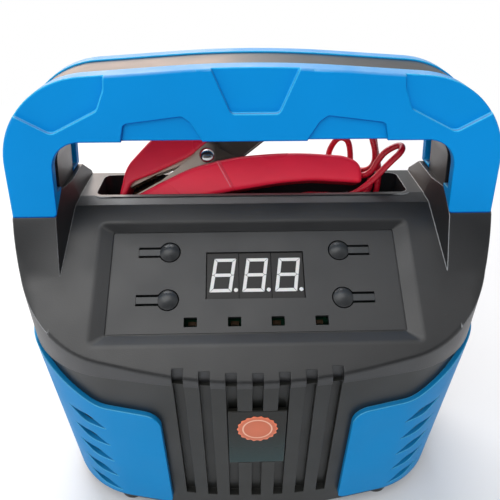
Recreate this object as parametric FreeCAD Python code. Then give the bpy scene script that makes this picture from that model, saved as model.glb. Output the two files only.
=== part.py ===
"""Portable car battery charger: housing, carrying handle, control panel, clamps and inner parts.

Millimetres. Z is up, the panel faces -Y, X runs to the right. The origin lies on the floor, in the
middle between the two sides and between the front face and the end of the mains gland.
"""
import FreeCAD, Part
import math
import os

V = FreeCAD.Vector
X_AXIS, Y_AXIS, Z_AXIS = V(1, 0, 0), V(0, 1, 0), V(0, 0, 1)

# Housing
front_y = -46.1          # front face at the parting line
rear_y = 42.5            # rear face of the upper shell
side_x = 93.0            # half the width of the upper shell
corner_x = side_x - 7.6   # where the bowed front would meet the flared side
front_bow = 11.0         # degrees that each half of the front turns back
front_bow_r = 230.0
front_corner_r = 44.0
flare_run = 32.905       # the side flares over this depth, then runs straight back
flare_knee_r = 40.0
rear_corner_r = 12.0
parting_z = 89.0         # upper and lower shell meet here
foot_height = 3.0
lower_step = 1.2         # the lower shell stands this far inside the upper one
draft = 3.0              # degrees of draft on the lower shell
wall = 2.4

# Sloped deck with the control panel
deck_slope = 33.7        # degrees from level
panel_y, panel_z = -13.5, parting_z + 24.5
panel_width, panel_height = 113.2, 42.3      # the opening that the surround leaves
panel_shift = 0.45       # the middle of that opening lies this far up the deck
panel_frame = 4.5        # width of the bevelled surround at the sides
panel_frame_v = 3.05     # and above and below, if the opening lay in its middle
panel_depth = 2.0        # how deep the surround goes down
panel_lip, panel_lip_deep = 1.9, 0.4         # the deck rolls over this edge into the surround
panel_clear = 0.55       # gap between the surround and the raised face of the panel
plate_proud = 0.3        # that face stands this far over the panel's flange
plate_thickness = 2.0
plate_flange = 3.7       # hidden edge of the panel under the deck
deck_edge_r = 2.2

# Storage well
rim_z = parting_z + 44.5
ledge_x = side_x - 20.9   # outer edge of the ledge beside the well
well_x = ledge_x - 6.5    # half the length of the well
well_front_y, well_rear_y = 20.5, 39.9
well_step_z = parting_z + 2.5     # below this the well is narrower
well_low_rear_y = 35.0
well_floor_z = 58.0
well_wall = 2.0
well_corner_r = 3.0

# Shoulders and handle
ramp_y = -11.5           # the shoulders leave the deck here
ramp_slope = 57.0        # degrees from level
handle_y = 1.0           # front face of the handle
cover_depth = 8.0
core_depth = 18.5
handle_top_z = rim_z + 56.5
handle_side_x = side_x - 4.95     # the arch is this wide at its top corners
handle_corner_r, handle_crown_r = 35.0, 450.0
foot_slope = 40.0        # degrees of the front cover's cut foot
core_foot_z = rim_z + 7.5
grip_z = rim_z + 30.2     # underside of the grip
grip_x, grip_corner_r = side_x - 20.5, 11.5
cover_step = 0.6         # the covers stand this far proud of the core
cover_face = 3.4
cover_wall = 2.2
cover_foot_r = 1.6       # inner corner of the front cover's foot
field_depth = 1.6        # depth of the sunken fields in the front cover

# Front ribs
groove_pitch, groove_width, groove_depth = 9.65, 4.1, 3.0
grooves = 7
groove_foot_z = 14.0
plate_top_z, plate_foot_z, plate_half = parting_z - 14.5, parting_z - 49.0, 11.4
plate_deep = 1.8         # thickness of the front plate, sunk in its bed

# Corner guards
guard_inner_x = 37.5
guard_proud = 1.2
guard_foot_z = 8.0
louvres = 5
louvre_pitch = 11.7
louvre_x = side_x - 24.6

# Push pads
tongue_root_x = panel_width / 2 - 10.6
pad_x = tongue_root_x - 12.25
pad_s = (12.75, -7.05)
pad_r = 3.9
pad_gap = 0.45
pad_height = 1.5
tongue_width = 2.6
slot_width = 0.95
root_gap = 0.1

# Display and lamps
digit_width, digit_height, digit_depth = 12.6, 19.05, 8.0
digit_gap = 0.15
digits = 3
display_s = 2.85
display_drop = 0.8       # the digit blocks lie this far under the panel's face
bar_width, bar_gap = 1.35, 0.1    # the seven bars of a digit and half the gap between two of them
bar_x, bar_y = 4.3, 7.0           # half the width and height of a digit, over its bars
bar_lean = 8.0           # degrees
lamp_x = (-24.9, -8.25, 8.25, 24.9)
lamp_s = -15.9
lamp_seat = 1.5          # the lamps sit this far up the board from their windows
lamp_width, lamp_height = 5.0, 3.7
board_thickness = 1.6
switch_gap = 0.75        # free travel under a push pad

# Clamps and leads
clamp_width = 12.0
cover_side = 1.8         # wall of the insulator beside the steel
lower_round, upper_round = 2.0, 1.2  # the lower and the upper insulator are rounded by this
collar, collar_width = 0.35, 1.1     # rib across the lower insulator
steel = 1.2
ear_gap = 0.1
ear_r = 5.2
rivet_r = 2.0
rivet_gap = 0.05
rivet_head_r, rivet_dome = 3.35, 1.7
wire_d = 0.9             # spring wire
coil_r, coil_pitch = 3.1, 0.95
coil_start, coil_end = -115.0, -926.6    # degrees round the rivet, clockwise
fixed_leg, free_leg = 15.5, 11.0
red_pivot = (-19.5, 38.5, rim_z + 9.1)
red_lean = 33.0          # degrees that the red clamp leans back from upright
black_pivot_x = -16.0
black_pivot_up = 21.4    # its rivet lies this far above the well's floor
black_turn = -7.0        # degrees that the black clamp is tipped in its own plane
lead_d = 2.7
lead_stub = 4.5          # straight stretch of a lead where it leaves its clamp
clamp_end_x = 67.0       # the lead enters its clamp here, in the clamp's own plane
lead_entry_u = -9.2
lead_gland_x = well_x - 5.1
lead_gland_y = (31.0, 24.3)
gland_hole_r = 2.4
gland_collar, gland_collar_r = 1.2, 3.2

# Screws and bosses
case_boss = ((side_x - 21.0, -20.0), (side_x - 18.5, 28.0))    # right half, front and rear
case_boss_r, case_pilot_r, case_clear_r = 5.0, 1.35, 2.1
case_head_r, case_head_h, case_head_deep = 3.6, 2.0, 2.4
stake_x, stake_s, stake_r = panel_width / 2 + 1.6, 19.0, 1.25    # pins that hold the panel's flange
stand_x, stand_s = panel_width / 2 - 6.6, panel_height / 2 - 3.95
stand_r = 2.6            # stand-offs of the board under the panel
stand_pilot_r = 1.0
handle_screw_x = (10.0 - side_x, -40.0, 40.0, side_x - 10.0)
handle_screw_z = [handle_top_z - down for down in (38.0, 20.0, 20.0, 38.0)]
handle_post_r, handle_pilot_r, handle_clear_r = 3.2, 1.3, 1.7
handle_head_r, handle_head_deep = 2.8, 1.6

# Inside of the lower shell
board_z = 12.0           # underside of the main board
board_x = side_x - 30.0  # half the length of the main board
board_screws_at = [(sx * (board_x - 5.0), y) for sx in (-1, 1) for y in (-24.0, 12.0)]
core_half, core_height = 17.0, 28.0
core_y0, core_y1 = -20.0, 6.0
window_z0, window_z1 = 6.0, 22.0     # windows of the transformer's core, above the board
sink_x0, sink_x1, sink_height = 19.0, 53.0, 32.0
sink_y0, sink_fin_y, sink_y1 = -27.0, -23.5, -9.0
sink_fins, fin_thick = 10, 1.24
transistor_x = (27.0, 45.0)
fan_x, fan_z = -34.0, 34.0
fan_size, fan_depth, fan_rear_y = 40.0, 10.0, 34.5
fan_duct_r, fan_sweep_r, fan_pin_r = 18.4, 17.6, 1.0
fan_screws_at = [(fan_x + sx * 16, fan_z + sz * 16) for sx in (-1, 1) for sz in (-1, 1)]
mains_gland_x, mains_gland_z = 56.0, 24.0
gland_end_y = -front_y   # the mains gland ends as far back as the front is forward
gland_neck_r, gland_bore_r = 5.0, 2.8
foot_r, foot_x, foot_y = 6.0, side_x - 35.0, (-27.0, 24.0)

# Heights that follow from the sizes above
plate_top = plate_proud - wall           # face of the panel, from the deck
plate_foot = plate_top - plate_thickness
digit_top = plate_top - display_drop
board_top = digit_top - digit_depth
board_face = board_z + board_thickness
segment_depth = 0.4
core_y = handle_y + cover_depth          # front of the handle's core
core_rear_y = core_y + core_depth
handle_rear_y = core_rear_y + cover_depth
steel_half = clamp_width / 2 - cover_side    # half the width of the fixed jaw
inner_half = steel_half - steel - ear_gap    # and of the moving one, between its sides
band_y = well_front_y - 0.5
band_s_y = 14.2          # the deck turns into the flatter band before the well here
ramp_top_y = handle_y - 0.5


def box(x0, x1, y0, y1, z0, z1):
    return Part.makeBox(x1 - x0, y1 - y0, z1 - z0, V(x0, y0, z0))


def cylinder(r, length, at, direction=Z_AXIS):
    return Part.makeCylinder(r, length, at, direction)


def fuse(shapes):
    shapes = list(shapes)
    body = shapes[0].fuse(shapes[1:]) if len(shapes) > 1 else shapes[0]
    return body.removeSplitter()


def cut(body, tools):
    return body.cut(list(tools)).removeSplitter()


def mirror_x(shape):
    return shape.mirror(V(0, 0, 0), X_AXIS)


def both(shape):
    return [shape, mirror_x(shape)]


def rounded(points, radii, lift=lambda x, y: V(x, y, 0)):
    """A closed wire through the points, each corner rounded by its radius."""
    count = len(points)
    edges, ends = [], []
    for i in range(count):
        a, p, b = (V(*points[j % count], 0) for j in (i - 1, i, i + 1))
        u, w = (a - p).normalize(), (b - p).normalize()
        half = u.getAngle(w) / 2
        r = radii[i] if isinstance(radii, (list, tuple)) else radii
        if r <= 0 or abs(half - math.pi / 2) < 1e-6:
            ends.append((p, None, p))
            continue
        reach = r / math.tan(half)
        middle = p + (u + w).normalize() * (r / math.sin(half) - r)
        ends.append((p + u * reach, middle, p + w * reach))
    for i, (start, middle, end) in enumerate(ends):
        if middle is not None:
            edges.append(Part.Arc(*(lift(q.x, q.y) for q in (start, middle, end))).toShape())
        following = ends[(i + 1) % count][0]
        if end.distanceToPoint(following) > 1e-6:
            edges.append(Part.makeLine(lift(end.x, end.y), lift(following.x, following.y)))
    return Part.Wire(Part.__sortEdges__(edges))


def prism(points, radii, z0, z1):
    """The rounded outline in the XY plane, standing from z0 to z1."""
    face = Part.Face(rounded(points, radii, lambda x, y: V(x, y, z0)))
    return face.extrude(V(0, 0, z1 - z0))


def front_prism(points, radii, y0, y1):
    """The rounded outline of points (x, z), running from y0 back to y1."""
    face = Part.Face(rounded(points, radii, lambda x, z: V(x, y0, z)))
    return face.extrude(V(0, y1 - y0, 0))


def side_prism(points, radii, x0, x1):
    """The rounded outline of points (y, z), running from x0 across to x1."""
    face = Part.Face(rounded(points, radii, lambda y, z: V(x0, y, z)))
    return face.extrude(V(x1 - x0, 0, 0))


def rectangle(cx, cy, width, height):
    return [(cx - width / 2, cy - height / 2), (cx + width / 2, cy - height / 2),
            (cx + width / 2, cy + height / 2), (cx - width / 2, cy + height / 2)]


def on_deck(shape):
    """Moves a shape made flat, with its face at z = 0, onto the deck."""
    shape = shape.copy()
    shape.rotate(V(0, 0, 0), X_AXIS, deck_slope)
    shape.translate(V(0, panel_y, panel_z))
    return shape


def deck_z(y, below=0.0):
    """Height of the deck at y, or of the surface that lies below it, square to the deck."""
    angle = math.radians(deck_slope)
    return panel_z + (y - panel_y) * math.tan(angle) - below / math.cos(angle)


def plan_points(outward):
    """The housing seen from above, every side moved outward by the same amount."""
    bow = math.radians(front_bow)
    apex = front_y - front_bow_r * (1 / math.cos(bow) - 1)
    corner = (corner_x, apex + corner_x * math.tan(bow))
    corners = [(0, apex), corner, (side_x, corner[1] + flare_run), (side_x, rear_y)]
    corners += [(-x, y) for x, y in reversed(corners[1:])]
    count = len(corners)
    moved = []
    for i in range(count):
        a, p, b = (V(*corners[j % count], 0) for j in (i - 1, i, i + 1))
        d0, d1 = (p - a).normalize(), (b - p).normalize()
        n0, n1 = V(d0.y, -d0.x, 0), V(d1.y, -d1.x, 0)
        q = p + (n0 + n1) * (outward / (1 + n0.dot(n1)))
        moved.append((q.x, q.y))
    radii = [front_bow_r, front_corner_r, flare_knee_r, rear_corner_r,
             rear_corner_r, flare_knee_r, front_corner_r]
    return moved, [r + outward for r in radii]


def housing_prism(outward, z0, z1):
    points, radii = plan_points(outward)
    return prism(points, radii, z0, z1)


def drafted(outward, z0, z1):
    """The lower body between two heights, leaning in by the draft as it goes down."""
    wires = []
    for z in (z0, z1):
        points, radii = plan_points(outward - (parting_z - z) * math.tan(math.radians(draft)))
        wires.append(rounded(points, radii, lambda x, y, z=z: V(x, y, z)))
    return Part.makeLoft(wires, True, True)


def lower_face_y(z, outward=0.0):
    """The front face of the lower shell at the middle, at height z."""
    return front_y + lower_step - outward + (parting_z - z) * math.tan(math.radians(draft))


def lower_rear_y(z):
    return rear_y - lower_step - (parting_z - z) * math.tan(math.radians(draft))


def save(name, shape):
    """Writes one named piece, or a group of like pieces, as a STEP file."""
    if not shape.isValid():
        raise ValueError(name + " isn't a valid solid")
    solids = shape.Solids
    joined = solids[0] if len(solids) == 1 else Part.makeCompound(solids)
    joined.exportStep("parts/" + name + ".step")
    b = joined.BoundBox
    print(f"{name:26s} {len(solids):2d} solids {joined.Volume / 1000:8.2f} cm3  "
          f"x {b.XMin:7.1f} {b.XMax:7.1f}  y {b.YMin:6.1f} {b.YMax:6.1f}  z {b.ZMin:6.1f} {b.ZMax:6.1f}")


# Upper shell

def top_profile(down, y0, y1, floor):
    """Side view of what lies under the deck, the band and the rim."""
    return [(y0, floor), (y1, floor), (y1, rim_z - down), (band_y, rim_z - down),
            (band_s_y, deck_z(band_s_y, down)), (y0, deck_z(y0, down))]


def well_space(grow, top):
    """The room of the storage well, or that room with its walls."""
    rooms = []
    upper = (well_rear_y, well_step_z - grow, top)
    lower = (well_low_rear_y, well_floor_z - grow, well_step_z)
    for rear, z0, z1 in (upper, lower):
        x, y0, y1 = well_x + grow, well_front_y - grow, rear + grow
        rooms.append(prism([(-x, y0), (x, y0), (x, y1), (-x, y1)], well_corner_r + grow, z0, z1))
    return rooms[0].fuse(rooms[1])


def shoulder_block():
    """The right shoulder: a block cut by the walls that face the deck and the well."""
    ramp_top_z = deck_z(ramp_y) + (ramp_top_y - ramp_y) * math.tan(math.radians(ramp_slope))
    cut_z = ramp_top_z + (core_y - ramp_top_y) * math.tan(math.radians(foot_slope))
    profile = [(-70, parting_z), (rear_y, parting_z), (rear_y, rim_z + 1.5), (handle_rear_y, core_foot_z),
               (core_y, core_foot_z), (core_y, cut_z), (ramp_top_y, ramp_top_z),
               (ramp_y, deck_z(ramp_y)), (-70, deck_z(-70))]
    block = side_prism(profile, 0, ledge_x - 12, side_x + 17)
    block = block.common(housing_prism(0, parting_z - 1, core_foot_z + 10))
    # The inner wall leans out as it rises, and turns in as it goes back
    at_ledge = beyond(V(ledge_x, 0, rim_z), V(ledge_x, 50, rim_z), V(ledge_x + 2.1, 0, rim_z + 10))
    at_deck = beyond(V(ledge_x + 3.1, ramp_y - 0.3, panel_z + 1.1),
                     V(ledge_x + 0.8, band_s_y - 0.7, rim_z - 2.0),
                     V(ledge_x + 3.9, handle_y - 0.1, rim_z - 1.1))
    return block.cut([at_ledge, at_deck])


def beyond(a, b, c):
    """A large block on that side of the plane through three points where x is smaller."""
    normal = (b - a).cross(c - a).normalize()
    if normal.x > 0:
        normal = normal * -1
    plate = Part.makePlane(400, 400, a, normal)
    plate.translate(a - plate.BoundBox.Center)
    return plate.extrude(normal * 200)


def panel_opening():
    """The bevelled seat that goes down to the panel, made flat."""
    wide, high = panel_width + 2 * panel_frame, panel_height + 2 * panel_frame_v
    rings = [(wide + 2 * panel_lip, high + 2 * panel_lip, 0, 3.4, 0),
             (wide + panel_lip, high + panel_lip, 0, 2.6, -panel_lip_deep / 4),
             (wide, high, 0, 1.6, -panel_lip_deep),
             (panel_width, panel_height, panel_shift, 0.8, -panel_depth)]
    wires = [rounded(rectangle(0, s, w, h), r, lambda x, y, z=z: V(x, y, z)) for w, h, s, r, z in rings]
    steps = [Part.makeLoft(list(pair), True, True) for pair in zip(wires, wires[1:])]
    above = prism(rectangle(0, 0, rings[0][0], rings[0][1]), rings[0][3], 0, 3)
    through = prism(rectangle(0, panel_shift, panel_width, panel_height), 0.8, -12, -panel_depth)
    return above.fuse(steps + [through])


def groove_tools(face_y, z0, z1, depth, lean):
    """The vertical grooves of the front, cut to a depth behind the bowed face."""
    tools = []
    for i in range(grooves):
        x = (i - (grooves - 1) / 2) * groove_pitch
        back = face_y + x * x / (2 * front_bow_r) + depth
        tool = box(x - groove_width / 2, x + groove_width / 2, back - 20, back, z0, z1)
        if lean:
            tool.rotate(V(0, back, z1), X_AXIS, draft)
        tools.append(tool)
    return tools


def boss_places():
    return [(sx * x, y) for sx in (-1, 1) for x, y in case_boss]


def four(x, s):
    """The four places that lie at the same distances from the middle of the panel."""
    return [(sx * x, panel_shift + ss * s) for sx in (-1, 1) for ss in (-1, 1)]


def upper_shell():
    outer = housing_prism(0, parting_z, rim_z + 30)
    body = outer.common(side_prism(top_profile(0, -70, 60, parting_z - 1), 0, -120, 120))
    body = soften_deck_edge(body)
    inside = housing_prism(-wall, parting_z - 5, rim_z + 5)
    inside = inside.common(side_prism(top_profile(wall, -70, 60, parting_z - 10), 0, -120, 120))
    inside = inside.cut([well_space(well_wall, rim_z + 5)])
    # the front stays thick behind the grooves
    inside = inside.cut([box(-34, 34, -60, front_y + wall + groove_depth + 1, 60, 110)])
    shell = body.cut([inside])
    tub = well_space(well_wall, rim_z).cut([box(-100, 100, well_low_rear_y + well_wall, 60, 40, parting_z)])
    shell = shell.fuse([tub] + both(shoulder_block()))
    shell = shell.cut([well_space(0, rim_z + 5)])
    posts = []
    for x, y in boss_places():
        top = min(deck_z(y, wall), rim_z - wall) + 1
        posts.append(cylinder(4.0, top - parting_z, V(x, y, parting_z)))
    stakes = [on_deck(cylinder(stake_r, 5.5, V(x, s, plate_foot - 3.0))) for x, s in four(stake_x, stake_s)]
    shell = shell.fuse(posts)
    shell = shell.cut([on_deck(panel_opening())])
    above = on_deck(box(-80, 80, -40, 40, -wall + 0.2, 20))
    shell = shell.fuse([stake.cut([above]) for stake in stakes])
    pilots = [cylinder(case_pilot_r, 14, V(x, y, parting_z - 1)) for x, y in boss_places()]
    shell = shell.cut(pilots + groove_tools(front_y, parting_z - 1, parting_z + 12, groove_depth, False))
    gland_holes = [cylinder(gland_hole_r, 10, V(lead_gland_x, y, well_floor_z - 5)) for y in lead_gland_y]
    return cut(shell, gland_holes)


def soften_deck_edge(body):
    """Rounds the long edge where the deck turns down into the front face."""
    angle = math.radians(deck_slope)
    normal = V(0, -math.sin(angle), math.cos(angle))
    origin = V(0, panel_y, panel_z)
    edges = []
    for edge in body.Edges:
        mid = edge.valueAt((edge.FirstParameter + edge.LastParameter) / 2)
        on_face = all(abs((v.Point - origin).dot(normal)) < 1e-4 for v in edge.Vertexes)
        if on_face and abs((mid - origin).dot(normal)) < 1e-4 and edge.Length > 3:
            if all(v.Point.y < band_s_y - 0.5 for v in edge.Vertexes):
                edges.append(edge)
    return body.makeFillet(deck_edge_r, edges)


# Handle

def arch_points(inward):
    """Outer outline of the handle, as points (x, z), from the right foot over the top."""
    foot_z = core_foot_z - 20
    side_top = (handle_side_x, handle_top_z - 6.0)
    side_foot = (side_top[0] + 0.1 * (side_top[1] - foot_z), foot_z)
    crown = (0.0, handle_top_z - 0.2)
    right = [(side_foot[0] - inward, foot_z), (side_top[0] - inward, side_top[1] - inward)]
    return right + [(0.0, crown[1] - inward)] + [(-x, z) for x, z in reversed(right)]


def arch_outer(inward, y0, y1):
    corner_r = handle_corner_r - inward
    return front_prism(arch_points(inward), [0, corner_r, handle_crown_r, corner_r, 0], y0, y1)


def arch_inner(outward, y0, y1):
    """The opening under the grip, wider by the outward amount."""
    foot_z = core_foot_z - 25
    top = grip_z + outward
    x_top = grip_x - outward
    r = grip_corner_r + outward
    x_foot = x_top + 0.112 * (top - foot_z)
    points = [(x_foot, foot_z), (x_top, top), (-x_top, top), (-x_foot, foot_z)]
    return front_prism(points, [0, r, r, 0], y0, y1)


def arch(inward, opening, y0, y1):
    return arch_outer(inward, y0, y1).cut([arch_inner(-opening, y0 - 1, y1 + 1)])


def at_screws(r, y0, y1):
    """Cylinders along the four screws of the handle, for posts, holes and heads."""
    return [cylinder(r, y1 - y0, V(x, y0, z), Y_AXIS) for x, z in zip(handle_screw_x, handle_screw_z)]


def handle_core():
    body = arch(cover_step, cover_step, core_y, core_rear_y)
    body = body.common(box(-120, 120, -60, 60, core_foot_z, 220))
    return cut(body, at_screws(handle_clear_r, core_y - 5, core_rear_y + 5))


def sunken_fields():
    """The sunken fields in the front cover: crown, two corners and the grip notches."""
    y0, y1 = handle_y - 5, handle_y + field_depth
    t, g, out = handle_top_z, grip_z, side_x
    crown = front_prism([(-16.2, t + 2), (-8.4, t - 16.5), (8.4, t - 16.5), (16.2, t + 2)],
                        [0, 2.0, 2.0, 0], y0, y1)
    corner = front_prism([(44.0 - out, t + 5), (42.0 - out, t - 8), (38.6 - out, t - 15.2),
                          (21.4 - out, t - 23.5), (6.0 - out, t - 14.5), (-7.0 - out, t - 10),
                          (-7.0 - out, t + 5)],
                         [0, 2.0, 2.5, 3.5, 2.0, 0, 0], y0, y1)
    notch = front_prism([(-47.8, g - 5.7), (-47.4, g + 0.8), (-45.9, g + 6.4), (-25.4, g + 9.0),
                         (-22.7, g + 6.9), (-17.6, g - 1.7), (-17.6, g - 5.7)],
                        [0, 0.8, 2.0, 2.0, 1.0, 0, 0], y0, y1)
    return [crown] + both(corner) + both(notch)


def cover_shell(y_face, y_back, foot_cut, edge_r):
    """One hollow cover of the handle, its face at y_face and open at y_back."""
    y0, y1 = min(y_face, y_back), max(y_face, y_back)
    body = arch(0, 0, y0, y1).cut([foot_cut])
    inner_foot = [e for e in body.Edges if e.BoundBox.ZMax < core_foot_z + 1 and e.BoundBox.XLength < 3
                  and e.BoundBox.YLength > cover_depth / 2 and abs(e.BoundBox.Center.x) < side_x - 8]
    if inner_foot:
        body = body.makeFillet(cover_foot_r, inner_foot)
    face_edges = [e for e in body.Edges if e.BoundBox.YLength < 1e-6 and abs(e.BoundBox.YMin - y_face) < 1e-6
                  and outer_edge(e)]
    body = body.makeFillet(edge_r, face_edges)
    deep = y_face + (cover_face if y_back > y_face else -cover_face)
    hollow = arch(cover_wall, -cover_wall, min(deep, y_back), max(deep, y_back)).cut([foot_cut])
    hollow = hollow.common(box(-120, 120, -60, 60, core_foot_z + 2, 220))
    return body.cut([hollow])


def outer_edge(edge):
    """True on the outer rim of the arch, false round its opening."""
    c = edge.valueAt((edge.FirstParameter + edge.LastParameter) / 2)
    inner = abs(c.x) < side_x - 14 and c.z < grip_z + 2
    return not inner and c.z > core_foot_z + 3


def front_foot_cut():
    """What the front cover leaves free above the shoulders' sloped tops."""
    z = deck_z(ramp_y) + (ramp_top_y - ramp_y) * math.tan(math.radians(ramp_slope))
    rise = math.tan(math.radians(foot_slope))
    return side_prism([(ramp_top_y - 10, z - 10 * rise), (ramp_top_y + 20, z + 20 * rise),
                       (ramp_top_y + 20, 60), (ramp_top_y - 10, 60)], 0, -120, 120)


def handle_cover_front():
    body = cover_shell(handle_y, core_y, front_foot_cut(), 1.0)
    body = body.fuse(at_screws(handle_post_r, handle_y + cover_face - 0.5, core_y))
    return cut(body, sunken_fields() + at_screws(handle_pilot_r, handle_y + 2.4, core_y))


def handle_cover_rear():
    foot = box(-120, 120, core_rear_y - 5, handle_rear_y + 5, 60, core_foot_z)
    body = cover_shell(handle_rear_y, core_rear_y, foot, 2.5)
    body = body.fuse(at_screws(handle_post_r, core_rear_y, handle_rear_y - cover_face + 0.5))
    heads = at_screws(handle_head_r + 0.2, handle_rear_y - handle_head_deep, handle_rear_y + 5)
    return cut(body, heads + at_screws(handle_clear_r, core_rear_y - 1, handle_rear_y + 5))


def handle_screws():
    seat = handle_rear_y - handle_head_deep
    heads = at_screws(handle_head_r, seat, seat + 1.5)
    recesses = at_screws(1.0, seat + 0.6, seat + 2)
    shanks = at_screws(handle_pilot_r, handle_y + 2.6, seat)
    return Part.makeCompound([h.cut([r]).fuse([s]) for h, r, s in zip(heads, recesses, shanks)])


# Lower shell, front plate and guards

def front_backing():
    """Thick wall behind the grooves, so that they don't break through."""
    block = drafted(-lower_step, foot_height, parting_z)
    block = block.common(box(-34, 34, -60, -20, foot_height, parting_z))
    return block.cut([drafted(-lower_step - groove_depth - wall, foot_height - 1, parting_z + 1)])


def lower_shell():
    outer = drafted(-lower_step, foot_height, parting_z)
    inner = drafted(-lower_step - wall, foot_height + wall, parting_z + 1)
    body = outer.cut([inner]).fuse([front_backing()])
    posts = [cylinder(case_boss_r, parting_z - foot_height, V(x, y, foot_height)) for x, y in boss_places()]
    stands = [cylinder(2.5, board_z - foot_height, V(x, y, foot_height)) for x, y in board_screws_at]
    fan_posts = [cylinder(3.0, 12, V(x, fan_rear_y, z), Y_AXIS) for x, z in fan_screws_at]
    trim = drafted(-lower_step - 0.5, foot_height, parting_z)
    body = body.fuse(posts + stands + [p.common(trim) for p in fan_posts])
    tools = groove_tools(lower_face_y(parting_z), groove_foot_z, parting_z, groove_depth, True)
    tools += [cylinder(case_clear_r, 200, V(x, y, 0)) for x, y in boss_places()]
    head_bore = foot_height + case_head_deep
    tools += [cylinder(case_head_r + 0.3, head_bore, V(x, y, 0)) for x, y in boss_places()]
    tools += [cylinder(1.2, 20, V(x, y, foot_height + wall)) for x, y in board_screws_at]
    tools += rear_grille() + [cylinder(gland_neck_r, 20, V(mains_gland_x, 25, mains_gland_z), Y_AXIS)]
    tools += [cylinder(1.25, 1 + fan_pilot(z), V(x, fan_rear_y - 1, z), Y_AXIS) for x, z in fan_screws_at]
    tools += [plate_on_front(box(-plate_half, plate_half, -20, plate_deep, plate_foot_z, plate_top_z))]
    tools += vent_slots()
    return cut(body, tools)


def rear_grille():
    """Level slots in the rear wall, in the round of the fan."""
    slots = []
    round_hole = cylinder(17.0, 30, V(fan_x, 25, fan_z), Y_AXIS)
    for i in range(-3, 4):
        z = fan_z + i * 4.8
        slots.append(box(fan_x - 20, fan_x + 20, 25, 55, z - 1.4, z + 1.4).common(round_hole))
    return slots


def plate_on_front(shape):
    """Leans an upright shape with the front of the lower shell and sets it on that front."""
    shape = shape.copy()
    shape.rotate(V(0, 0, parting_z), X_AXIS, draft)
    shape.translate(V(0, lower_face_y(parting_z), 0))
    return shape


def front_plate():
    half = plate_half - 0.1
    plate = box(-half, half, 0.0, plate_deep, plate_foot_z + 0.1, plate_top_z - 0.1)
    plate = plate.makeFillet(0.4, [e for e in plate.Edges if abs(e.BoundBox.YMax) < 1e-6])
    return plate_on_front(plate)


def guard_outline():
    """Front view of the right guard, as points (x, z)."""
    top_z = parting_z - 1.0
    return [(guard_inner_x, guard_foot_z), (guard_inner_x, top_z - 17.8), (side_x - 31, top_z - 16.4),
            (side_x - 13, top_z - 4.5), (side_x - 5, top_z), (side_x + 17, top_z),
            (side_x + 17, guard_foot_z)], [3.0, 6.5, 14.0, 20.0, 0, 0, 0]


def louvre(i):
    """One crescent opening of the right guard, in the front view."""
    z = parting_z - 27.8 - i * louvre_pitch
    lens = front_prism([(-8.6, -0.2), (0, 3.4), (8.6, 0.2), (0, -3.0)], [0, 6.0, 0, 6.0], -60, 0)
    lens.rotate(V(0, 0, 0), Y_AXIS, -23)
    lens.translate(V(louvre_x, 0, z))
    return lens


def side_guard():
    skin = drafted(guard_proud + 1.0 - lower_step, foot_height, parting_z - 0.4)
    skin = skin.cut([drafted(-lower_step, foot_height - 1, parting_z + 1)])
    points, radii = guard_outline()
    body = skin.common(front_prism(points, radii, -70, 60))
    rear = side_prism([(-80, 0), (8, 0), (8, guard_foot_z + 4), (24, parting_z - 1), (24, parting_z + 11),
                       (-80, parting_z + 11)], [0, 0, 6, 8, 0, 0], 0, side_x + 27)
    body = body.common(rear)
    return cut(body, [louvre(i) for i in range(louvres)])


def vent_slots():
    """Openings of the lower shell behind the guards' louvres."""
    tools = []
    for i in range(louvres):
        slot = louvre(i).common(box(louvre_x - 6.4, louvre_x + 7.6, -80, -25, 0, parting_z + 11))
        tools += both(slot)
    return tools


# Control panel

def button_tool(sx, s):
    """The round hole and the two slots that free one push pad, made flat."""
    reach = tongue_root_x - pad_x
    hole = cylinder(pad_r + pad_gap, 20, V(sx * pad_x, s, -15))
    slots = prism(rectangle(sx * (pad_x + reach / 2), s, reach, tongue_width + 2 * slot_width), 0, -15, 5)
    return hole.fuse([slots])


def button(sx, s):
    """A push pad on its spring tongue, made flat."""
    post = cylinder(pad_r, plate_thickness, V(sx * pad_x, s, plate_foot))
    dome_r = (pad_r ** 2 + pad_height ** 2) / (2 * pad_height)
    dome = Part.makeSphere(dome_r, V(sx * pad_x, s, plate_top + pad_height - dome_r))
    dome = dome.common(cylinder(pad_r, 10, V(sx * pad_x, s, plate_top)))
    reach = tongue_root_x - root_gap - pad_x
    tongue = prism(rectangle(sx * (pad_x + reach / 2), s, reach, tongue_width), 0, plate_foot, plate_top)
    return on_deck(fuse([post, dome, tongue]))


def display_window():
    width = digits * digit_width + (digits + 1) * digit_gap
    return prism(rectangle(0, display_s, width + 0.2, digit_height + 0.4), 0, -15, 5)


def control_panel():
    flange = prism(rectangle(0, panel_shift, panel_width + 2 * plate_flange, panel_height + 2 * plate_flange),
                   1.0, plate_foot, plate_top - plate_proud)
    face = prism(rectangle(0, panel_shift, panel_width - 2 * panel_clear, panel_height - 2 * panel_clear),
                 0.5, plate_foot, plate_top)
    plate = flange.fuse([face])
    stand_height = plate_foot - board_top
    stands = [cylinder(stand_r, stand_height, V(x, s, board_top)) for x, s in four(stand_x, stand_s)]
    tools = [button_tool(sx, s) for sx in (-1, 1) for s in pad_s]
    tools.append(display_window())
    tools += [prism(rectangle(x, lamp_s, lamp_width, lamp_height), 0.3, -15, 5) for x in lamp_x]
    tools += [cylinder(stake_r + 0.1, 20, V(x, s, -15)) for x, s in four(stake_x, stake_s)]
    tools += [cylinder(stand_pilot_r, 5.5, V(x, s, board_top - 0.5)) for x, s in four(stand_x, stand_s)]
    return on_deck(cut(plate.fuse(stands), tools))


def digit_centre(i):
    return (i - (digits - 1) / 2) * (digit_width + digit_gap)


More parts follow.
